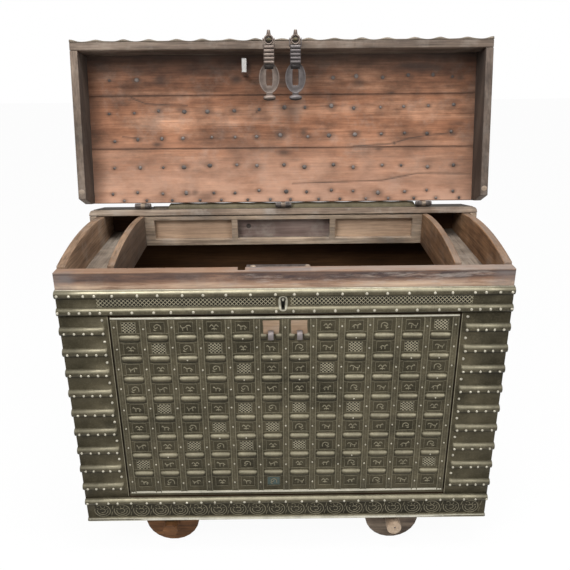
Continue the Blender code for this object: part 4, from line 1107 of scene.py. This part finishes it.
def plank_tone(u, v, places, half, edge):
    """Stains, painted shade and paleness of the planks: stained at the nails and cracks, painted shade in the corners
    by the ends and a painted shadow along the front under the rim, pale near the hinges.
    """
    stain_and_shade = 0.0
    for nu, nv, size in places:
        near_by = math.hypot((u - nu) / 1.4, v - nv) / (size * 2.4)
        stain_and_shade = max(stain_and_shade, 0.82 * (1 - near_by))
    for bu, bv, wide, tall, strength in BLOTCHES:
        near_by = math.hypot((u - bu) / wide, (v - bv) / tall)
        stain_and_shade = max(stain_and_shade, min(0.9, 1.2 * strength) * min(1.0, 1.25 - near_by))
    stain_and_shade = max(stain_and_shade, 0.8 * (1 - edge / 0.0045), 0.85 * crack_depth(u, v))
    # Painted shadow towards the front, near black under the rim
    stain_and_shade = max(stain_and_shade, min(0.93, 0.14 + (v - 0.37) * 10.5) if v > 0.37 else 0.14 * (v - 0.28) / 0.09)
    # Painted shade towards both ends, against the end walls
    stain_and_shade = max(stain_and_shade, 0.4 * (1 - (half - 0.022 - abs(u)) / 0.05))
    return stain_and_shade, 0.72 * max(0.0, 1 - v / 0.22) * (1 - stain_and_shade)


def lid_planks(places):
    """Planks whose inner faces carry the stains round the nails, painted shade in the corners and along the front, and
    a few cracks.
    """
    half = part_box("lid_plank_rear")[1][0]
    along = 340
    sunk = 0.0012
    for name, near, far in zip(("rear", "middle", "front"), PLANK_EDGES, PLANK_EDGES[1:]):
        skin = Skin(on_lid)
        begin = near + (CLEARANCE if name != "rear" else 0.0)
        across = max(8, round((far - begin) / 0.0036))
        rings = []
        for i in range(along + 1):
            u = -half + 2 * half * i / along
            ring = [skin.point(u, begin, -PLANK_DEPTH), skin.point(u, begin, -sunk)]
            for j in range(across + 1):
                v = begin + 0.0010 + (far - begin - 0.002) * j / across
                stain_and_shade, pale = plank_tone(u, v, places, half, min(v - begin, far - v))
                ring.append(skin.point(u, v, -sunk * crack_depth(u, v), 0.0, stain_and_shade, pale))
            rings.append(ring + [skin.point(u, far, -sunk), skin.point(u, far, -PLANK_DEPTH)])
        skin.tube(rings)
        made = skin.build(f"plank_{name}", LID_WOOD, "lid", (f"lid_plank_{name}",))
        made.data.set_sharp_from_angle(angle=math.radians(50))


def lid_front_edge():
    """Wavy skin over the outside of the lid's front, turned at the rim."""
    corners = lid_corners("lid_front_cladding")
    half, back, high = (max(values) for values in zip(*corners))
    low = min(corner.z for corner in corners)
    skin = Skin(lambda u, v, h: LID @ Vector((u, v, h)))
    steps = 240
    least, rib, ripple = FRONT_SKIN
    foot = low + 0.0002
    profile = ((foot, 0.7), (low + 0.002, 1.0), ((low + high) / 2, 1.0), (high - 0.002, 1.0), (high, 0.7))
    rings = []
    for number in range(steps + 1):
        u = -half + 2 * half * number / steps
        phase = (u / LID_RIB_PITCH + 0.5) % 1.0 - 0.5
        wave = least + rib * math.exp(-((phase / 0.22) ** 2)) + ripple * math.sin(u * 61) ** 2
        ring = [skin.point(u, back, foot)]
        for h, share in profile:
            ring.append(skin.point(u, back - wave * share, h, 0.25 * share, 0.15 * (1 - wave / 0.008)))
        rings.append(ring + [skin.point(u, back, high)])
    skin.tube(rings)
    skin.build("lid_front_skin", DULL_BRASS, "lid", ("lid_front_cladding",))


def lid_top_nails():
    """Brass nails along the ribs of the lid's outside and its front."""
    _, near, high = (max(values) for values in zip(*lid_corners("lid_cladding")))
    front = max(corner.y for corner in lid_corners("lid_front_cladding"))
    skin = Skin(lambda u, v, h: LID @ Vector((u, -v, h)))
    for number in ALONG_LID:
        for v in spaced(0.03 - near, LID_LENGTH - 0.02, 0.075):
            skin.dome(number * LID_RIB_PITCH, v, *LID_TOP_NAIL, high - 0.0006)
    skin.place = lambda u, v, h: LID @ Vector((u, front - h, v))
    for number in ALONG_LID:
        for v in (0.012, -0.030, -0.072):
            skin.dome(number * LID_RIB_PITCH, v, *LID_TOP_NAIL, 0.0058)
    skin.build("lid_top_nails", NAIL, "lid")


def lid_nails(places):
    """Iron nails inside the lid, and a wooden plug at each end of the rim."""
    skin = Skin(on_lid)
    for u, v, size in places:
        skin.dome(u, v, size, 0.0022, 0.0, RNG.choice((0.1, 0.3, 0.7)), 10)
    skin.build("lid_nails", DARK_IRON, "lid")
    skin = Skin(on_lid)
    rim = -min(corner.z for corner in lid_corners("lid_front_wall"))
    for _, side in SIDES:
        skin.dome(side * (HALF + 0.013), 0.046, *RIM_PLUG, rim, 0.4, 14)
    skin.build("rim_plugs", FRAME_WOOD, "lid")


# Hasps

HASP_BACK = -0.0040
NECK_RINGS = 5
NECK_PITCH = 0.00996
NECK_TOP = -0.0145
NECK_RING = 0.0096
LUG_PLACE = 0.0158
LUG_HALF = 0.0012
TAIL_MIDDLE = -0.1550
TAIL_HALF = 0.0178
TAIL_RADIUS = 0.0078
EYE_RADIUS = 0.0116
# Section of a neck: place across, height, share of the painted highlight, and whether the height stays along the ring
NECK_SECTION = mirrored(
    [
        (-0.0150, HASP_BACK, 0.0, True), (-0.0150, 0.0, 0.0, True), (-0.0142, 0.0026, 0.7, False),
        (-0.0115, 0.0036, 1.0, False),
    ],
    (0.0, 0.0036, 1.0, False),
)
OVAL_MIDDLE = -0.1015
OVAL_HALF = (0.0290, 0.0420)
SLOT_HALF = (0.0085, 0.0220)


def hasp_neck(skin):
    """Half-round barrels one under another, closed behind, with a painted highlight on each barrel's upper side and
    painted shade in the grooves, every other groove darker.
    """
    steps = 12
    for barrel in range(NECK_RINGS):
        top = NECK_TOP - barrel * NECK_PITCH
        rings = []
        for step in range(steps + 1):
            angle = math.pi * step / steps
            rise = math.sin(angle)
            v = top - NECK_RING * (1 - math.cos(angle)) / 2
            darker = barrel % 2 == (step > steps / 2)
            painted_shade = 0.95 * max(0.0, 1 - rise * (1.9 if darker else 2.6))
            shine = 0.42 * math.exp(-(((angle - 1.1) / 0.5) ** 2))
            rings.append([
                skin.point(u, v, h if fixed else h * rise, shine * share, painted_shade) for u, h, share, fixed in NECK_SECTION
            ])
        skin.tube(rings, caps=False)
    # A near-black plate behind the barrels: painted shade behind and under the neck
    skin.slab(rectangle(-0.0142, 0.0142, -0.0130, -0.0680), HASP_BACK, 0.0004, 0.1, 0.85)


def hasp_oval(skin):
    """A slotted oval with a raised rim, with painted shade under the neck, in the slot and on its back walls."""
    count = 32
    rings = []
    for share, height, shine, painted_shade in (
        (1.0, HASP_BACK, 0.0, 0.3), (1.0, 0.0006, 0.3, 0.0), (0.965, 0.0020, 0.6, 0.0), (0.90, 0.0016, 0.4, 0.0),
        (0.84, 0.0002, 0.1, 0.25), (0.45, 0.0003, 0.15, 0.0), (0.12, 0.0012, 0.4, 0.0), (0.0, 0.0004, 0.1, 0.2),
        (0.0, HASP_BACK, 0.0, 0.5), (1.0, HASP_BACK, 0.0, 0.3),
    ):
        ring = []
        for angle in angles(count, math.pi / count):
            u, v = math.cos(angle), math.sin(angle)
            scale = 1 / max(abs(u) / SLOT_HALF[0], abs(v) / SLOT_HALF[1])
            inner = (u * scale, v * scale + 0.0015)
            outer = (OVAL_HALF[0] * u, OVAL_HALF[1] * v)
            shade = 0.0
            if height > HASP_BACK:
                shade = 0.85 * max(0.0, min(1.0, (outer[1] * share - 0.022) / 0.012))
            ring.append(skin.point(
                inner[0] + (outer[0] - inner[0]) * share, OVAL_MIDDLE + inner[1] + (outer[1] - inner[1]) * share,
                height, shine, max(painted_shade, shade),
            ))
        rings.append(ring)
    skin.tube(rings, caps=False)
    # A near-black pad at the slot's upper end: painted shadow under the neck
    skin.pad(0.0, -0.0712, 0.0128, 0.0062, 0.0014, 0.0, 0.0, 0.9)


def hasp_tail(skin):
    """A short shank with a rounded cross piece, with a painted highlight along its upper side and painted shade
    underneath.
    """
    skin.slab(rectangle(-0.0085, 0.0085, -0.1420, -0.1560), -0.0038, 0.0004, 0.3)
    steps = 12
    rings = []
    for step in range(steps + 1):
        along = math.cos(math.pi * step / steps)
        radius = TAIL_RADIUS * math.sqrt(max(0.0009, 1 - along * along)) ** 0.7
        ring = []
        for angle in angles(16):
            lit = max(0.0, math.sin(angle + 0.5))
            ring.append(skin.point(
                TAIL_HALF * along, TAIL_MIDDLE + radius * math.sin(angle), 0.0020 + radius * math.cos(angle),
                0.55 * lit ** 3, 0.8 * max(0.0, -math.sin(angle)) ** 2,
            ))
        rings.append(ring)
    skin.tube(rings, caps=False)


def eye_bead(skin):
    """A bead round the eye, its finial, and a dark cup inside it."""
    around = [(math.cos(angle), math.sin(angle)) for angle in angles(24)]
    skin.ridge([(EYE_RADIUS * u, EYE_RADIUS * v) for u, v in around], 0.0044, 0.0022, -0.0002, 0.6, closed=True)
    finial = [(0.0, v) for v in (0.0112, 0.0150, 0.0195, 0.0240, 0.0252)]
    skin.ridge(finial, 0.0130, 0.0036, -0.0004, 0.55, taper=0.5)
    cup = [
        [skin.point(radius * u, radius * v, height, 0.0, 0.75) for u, v in around]
        for radius, height in ((0.0052, -0.0016), (0.0052, -0.0006), (0.0096, -0.0006), (0.0096, -0.0016))
    ]
    skin.tube([*cup, cup[0]], caps=False)


def hasp_details():
    """Hasps with ringed necks, slotted ovals and rounded tails, and a bead, cup and finial on each eye."""
    plate = PIVOT.y - 0.002
    for name, side in SIDES:
        x = side * PIVOT.x

        def on_hasp(u, v, h, x=x):
            return (x + u, plate - h, PIVOT.z + v)

        skin = Skin(on_hasp)
        hasp_neck(skin)
        for edge in (-LUG_PLACE, LUG_PLACE):
            skin.slab(rectangle(edge - LUG_HALF, edge + LUG_HALF, -0.0190, 0.0042), HASP_BACK, 0.0002, 0.3)
        hasp_oval(skin)
        hasp_tail(skin)
        material = IRON if side < 0 else IRON_GREY
        skin.build(f"hasp_plate_{name}", material, f"hasp_{name}_body", (f"hasp_{name}",))
        skin = Skin(on_hasp)
        eye_bead(skin)
        skin.build(f"eye_bead_{name}", IRON, f"hasp_eye_{name}_body")


# Timber and running gear


def inner_shade(node, amount, other=(0.0, 0.0), edge=None):
    """Painted shade on the face of a side board that looks to the middle of the chest.

    The tone of its narrow edges is edge, and other is the tone elsewhere.
    """
    inner, outer = sorted(abs(corner[0]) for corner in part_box(node))

    def tone(co):
        if abs(co.x) < inner + 0.001:
            return (amount, 0.0)
        if edge and inner + 0.0014 < abs(co.x) < outer - 0.0014:
            return edge
        return other

    return tone


def timber():
    smooth_copy("front_top_rail", RAIL_WOOD, 0.0022)
    smooth_copy("rear_top_board", STRIP_WOOD, 0.0016)
    smooth_copy("rear_till_frame", FRAME_WOOD, 0.0016)
    # Each side: its boards' wood (the right one a warmer copy, painted to look lit), painted shade on its partition's
    # inner face, the tone of the boards' narrow edges, and the lid end's tone elsewhere, where painted light makes the
    # left end a little paler and the right one darker
    for name, boards, shade, edge, rim in (
        ("left", END_WOOD, 0.6, (0.12, 0.0), (0.0, 0.07)), ("right", LIT_END_WOOD, 0.1, (0.0, 0.6), (0.16, 0.0)),
    ):
        for node, width, dark in ((f"end_board_{name}", 0.003, 0.0), (f"till_partition_{name}", 0.0022, shade)):
            smooth_copy(node, boards, width, 40, inner_shade(node, dark, edge=edge))
        smooth_copy(f"rear_top_end_{name}", FRAME_WOOD, 0.004)
        smooth_copy(f"lid_end_{name}", RIM_END_WOOD, 0.0028, tone=inner_shade(f"lid_end_{name}", 0.6, rim))
        smooth_copy(f"till_slide_{name}", PANEL_WOOD, 0.001)
    smooth_copy("lid_front_wall", RIM_WOOD, 0.0028)
    smooth_copy("till_floor", TILL_WOOD, 0.001)
    smooth_copy("rear_till_centre_panel", SPOTTED_WOOD, 0.001)
    dress(DARK_WOOD, "front_stile_left", "front_stile_right", "front_bottom_rail", "floor_board", "door_board")
    dress(WELL_WOOD, "back_board")
    for end in ("front", "rear"):
        smooth_copy(f"wheel_{end}_left", WHEEL_LEFT, 0.005)
        smooth_copy(f"wheel_{end}_right", WHEEL_RIGHT, 0.005)
    dress(WHEEL_LEFT, "axle_left")
    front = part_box("axle_right")[0][1]
    smooth_copy("axle_right", END_GRAIN, 0.0014, tone=lambda co: (0.0 if co.y < front + 0.004 else 0.85, 0.0))


def panel_nail():
    """A nail beaten flush at the left of the rear till's middle panel, so that the slide passes it."""
    low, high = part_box("rear_till_centre_panel")
    skin = Skin(lambda u, v, h: (u, low[1] - h, v))
    skin.dome(low[0] + 0.16 * (high[0] - low[0]), (low[2] + high[2]) / 2, 0.0078, 0.0002, 0.0, 0.0, 14)
    skin.build("panel_nail", DARK_IRON, "chest")


def lock_rivets():
    """Two rivet heads on the upper side of the lock's case."""
    low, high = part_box("lock_case")
    skin = Skin(lambda u, v, h: (u, low[1] + v, high[2] + h))
    for x in (-0.080, 0.058):
        skin.dome(x, 0.009, 0.0078, 0.0030, -0.0002, 0.35, 14)
    skin.build("lock_rivets", KNUCKLE_IRON, "chest")


def back_nails():
    """Iron nails along the edges of the back board."""
    low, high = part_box("back_board")
    skin = Skin(lambda u, v, h: (u, high[1] + h, v))
    nail = (0.0052, 0.0024, -0.0002, 0.4)
    for x in (low[0] + 0.018, high[0] - 0.018):
        for z in spaced(low[2] + 0.03, high[2] - 0.05, 0.085):
            skin.dome(x, z, *nail)
    for z in (low[2] + 0.016, (low[2] + high[2]) / 2):
        for x in spaced(low[0] + 0.09, high[0] - 0.09, 0.095):
            skin.dome(x, z, *nail)
    skin.build("back_nails", DARK_IRON, "chest")


def axle_nail():
    """A nail in the front end of the right axle."""
    spin = JOINTS["wheel_front_right_spin"]["pos_m"]
    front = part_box("axle_right")[0][1]
    skin = Skin(lambda u, v, h: (u, front - h, v))
    skin.dome(spin[0] + 0.002, spin[2] + 0.002, 0.0030, 0.0012, -0.0003, 0.1, 10)
    skin.build("axle_nail", DARK_IRON, "chest")


def hinge_ends():
    """Short collars at both ends of each hinge's barrel, with a painted highlight along their upper side."""
    skin = Skin(lambda u, v, h: (u, HINGE.y + v, HINGE.z + h))
    for name in ("left", "centre", "right"):
        low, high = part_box(f"hinge_leaf_{name}")
        for end, way in ((low[0], -1), (high[0], 1)):
            rings = []
            for out, radius, shine in (
                (0.0004, 0.0036, 0.0), (0.0004, 0.0068, 0.0), (0.0012, 0.0079, 0.5), (0.0050, 0.0079, 0.5),
                (0.0060, 0.0066, 0.2), (0.0060, 0.0036, 0.0),
            ):
                rings.append([
                    skin.point(
                        end + way * out, radius * math.cos(angle), radius * math.sin(angle),
                        shine * max(0.0, math.sin(angle)),
                    )
                    for angle in angles(18)
                ])
            skin.tube([*rings, rings[0]], caps=False)
    skin.build("hinge_ends", DARK_IRON, "chest")


ROLL = (-0.357, 0.410)
ROLL_TILT = math.radians(11.5)
ROLL_BEHIND = 0.0195
ROLL_HALF = 0.0095
ROLL_FOOT_HALF = 0.0098
ROLL_RISE = 0.0032
ROLL_WAVE = 0.0006


def rear_roll():
    """A wavy brass roll along the fixed strip, close behind the hinges and lower where they cross it, with painted
    shade at its feet.
    """
    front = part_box("rear_top_cladding")[0][1]
    sheet = max(vertex.co.z for vertex in NODES["rear_top_board"].data.vertices) + 0.0006
    middle = HINGE.y + ROLL_BEHIND
    foot = sheet - math.tan(ROLL_TILT) * (middle - front)
    begin, end = ROLL
    steps, arc = 160, 10
    skin = Skin(as_given)
    rings = []
    for step in range(steps + 1):
        u = begin + (end - begin) * step / steps
        swell = min(1.0, 0.3 + min(u - begin, end - u) / 0.012)
        top = HINGE.z + ROLL_RISE + ROLL_WAVE * math.cos(2 * math.pi * u / LID_RIB_PITCH)
        if abs(u) < 0.014:
            top = HINGE.z - 0.0040
        ring = [skin.point(u, middle - ROLL_FOOT_HALF, foot - 0.0005)]
        for number in range(arc + 1):
            angle = math.pi * number / arc
            rise = math.sin(angle)
            ring.append(skin.point(
                u, middle - ROLL_HALF * math.cos(angle), foot + (top - foot) * swell * rise, 0.5 * rise,
                0.3 * (1 - rise) ** 2,
            ))
        rings.append(ring + [skin.point(u, middle + ROLL_FOOT_HALF, foot - 0.0025)])
    skin.tube(rings)
    skin.build("rear_roll", ROLL_BRASS, "chest")


def metal():
    dress(BRASS, "door_sheet", "hasp_staple_left", "hasp_staple_right")
    dress(DULL_BRASS, "lid_cladding", "rear_top_cladding")
    for name in ("left", "centre", "right"):
        dress(DARK_IRON, f"hinge_leaf_{name}")
        dress(KNUCKLE_IRON, f"hinge_strap_{name}")
        dress(STEEL, f"hinge_pin_{name}")
    dress(IRON, "hasp_eye_left", "hasp_eye_right")
    dress(DARK_IRON, "lock_case")
    dress(STEEL, "lock_bolt", "lock_striker")


# Camera, light and floor

CAMERA_PLACE = Vector((-0.0085, FRONT - 0.010 - 1.4795, 1.333 + LIFT))
CAMERA_DOWN = math.radians(90 - 21.95)
CAMERA_YAW = -0.0059
CAMERA_ROLL = -0.0081
LENS_MM = 40.68
SENSOR_MM = 36
FLOOR_HALF = 12
# Name, place, aim, power and width of each lamp
LAMPS = (
    ("key", (-1.4, -2.2, 3.1), (0, 0, 0.7), 68, 1.3),
    ("fill", (2.4, -2.0, 1.8), (0, 0, 0.6), 28, 1.8),
    ("top", (0.3, -0.6, 3.4), (0, 0.0, 0.9), 62, 1.2),
)


def place_in_scene(name, data):
    made = bpy.data.objects.new(name, data)
    bpy.context.scene.collection.objects.link(made)
    return made


def stage():
    camera = place_in_scene("camera", bpy.data.cameras.new("camera"))
    camera.data.sensor_width = SENSOR_MM
    camera.data.lens = LENS_MM
    camera.data.clip_start = 0.05
    turn = Matrix.Rotation(CAMERA_YAW, 4, "Z") @ Matrix.Rotation(CAMERA_DOWN, 4, "X")
    turn = turn @ Matrix.Rotation(CAMERA_ROLL, 4, "Z")
    camera.matrix_world = Matrix.Translation(CAMERA_PLACE) @ turn
    bpy.context.scene.camera = camera
    bpy.context.scene.view_settings.view_transform = "Standard"

    mesh = bpy.data.meshes.new("floor")
    corners = rectangle(-FLOOR_HALF, FLOOR_HALF, -FLOOR_HALF, FLOOR_HALF)
    mesh.from_pydata([(x, y, 0) for x, y in corners], [], [(0, 1, 2, 3)])
    place_in_scene("floor", mesh)
    tree = Tree(bpy.data.materials.new("floor"))
    tree.nodes.remove(tree.nodes["Principled BSDF"])
    diffuse = tree.add("ShaderNodeBsdfDiffuse", {"Color": (0.9, 0.9, 0.9)})
    glow = tree.add("ShaderNodeEmission", {"Color": (1, 1, 1)})
    ray = tree.add("ShaderNodeLightPath").outputs
    direct = tree.math("MAXIMUM", ray["Is Camera Ray"], ray["Is Glossy Ray"])
    direct = tree.math("MAXIMUM", direct, ray["Is Transmission Ray"])
    inputs = {"Fac": tree.math("MULTIPLY", direct, 0.96), 1: diffuse.outputs["BSDF"], 2: glow.outputs["Emission"]}
    mix = tree.add("ShaderNodeMixShader", inputs)
    tree.feed(tree.nodes["Material Output"], {"Surface": mix.outputs["Shader"]})
    mesh.materials.append(tree.owner)

    sky = Tree(bpy.data.worlds.new("studio"))
    bpy.context.scene.world = sky.owner
    ray = sky.add("ShaderNodeLightPath").outputs
    seen = sky.math("MAXIMUM", ray["Is Camera Ray"], ray["Is Transmission Ray"])
    strength = sky.add("ShaderNodeMapRange", {"To Min": 0.42, "To Max": 1.0, "Value": seen})
    sky.feed(sky.nodes["Background"], {"Color": (1, 1, 1), "Strength": strength.outputs["Result"]})

    for name, spot, aim, energy, wide in LAMPS:
        light = bpy.data.lights.new(name, "AREA")
        light.energy = energy
        light.size = wide
        lamp = place_in_scene(name, light)
        lamp.location = spot
        lamp.rotation_euler = (Vector(aim) - Vector(spot)).to_track_quat("-Z", "Y").to_euler()


bands()
front_nails()
band_patterns()
door_bolsters()
door_cells()
door_nails()
door_hardware()
nail_places = lid_nail_places()
lid_planks(nail_places)
lid_nails(nail_places)
lid_front_edge()
lid_top_nails()
hasp_details()
timber()
panel_nail()
lock_rivets()
back_nails()
axle_nail()
hinge_ends()
rear_roll()
metal()
stage()
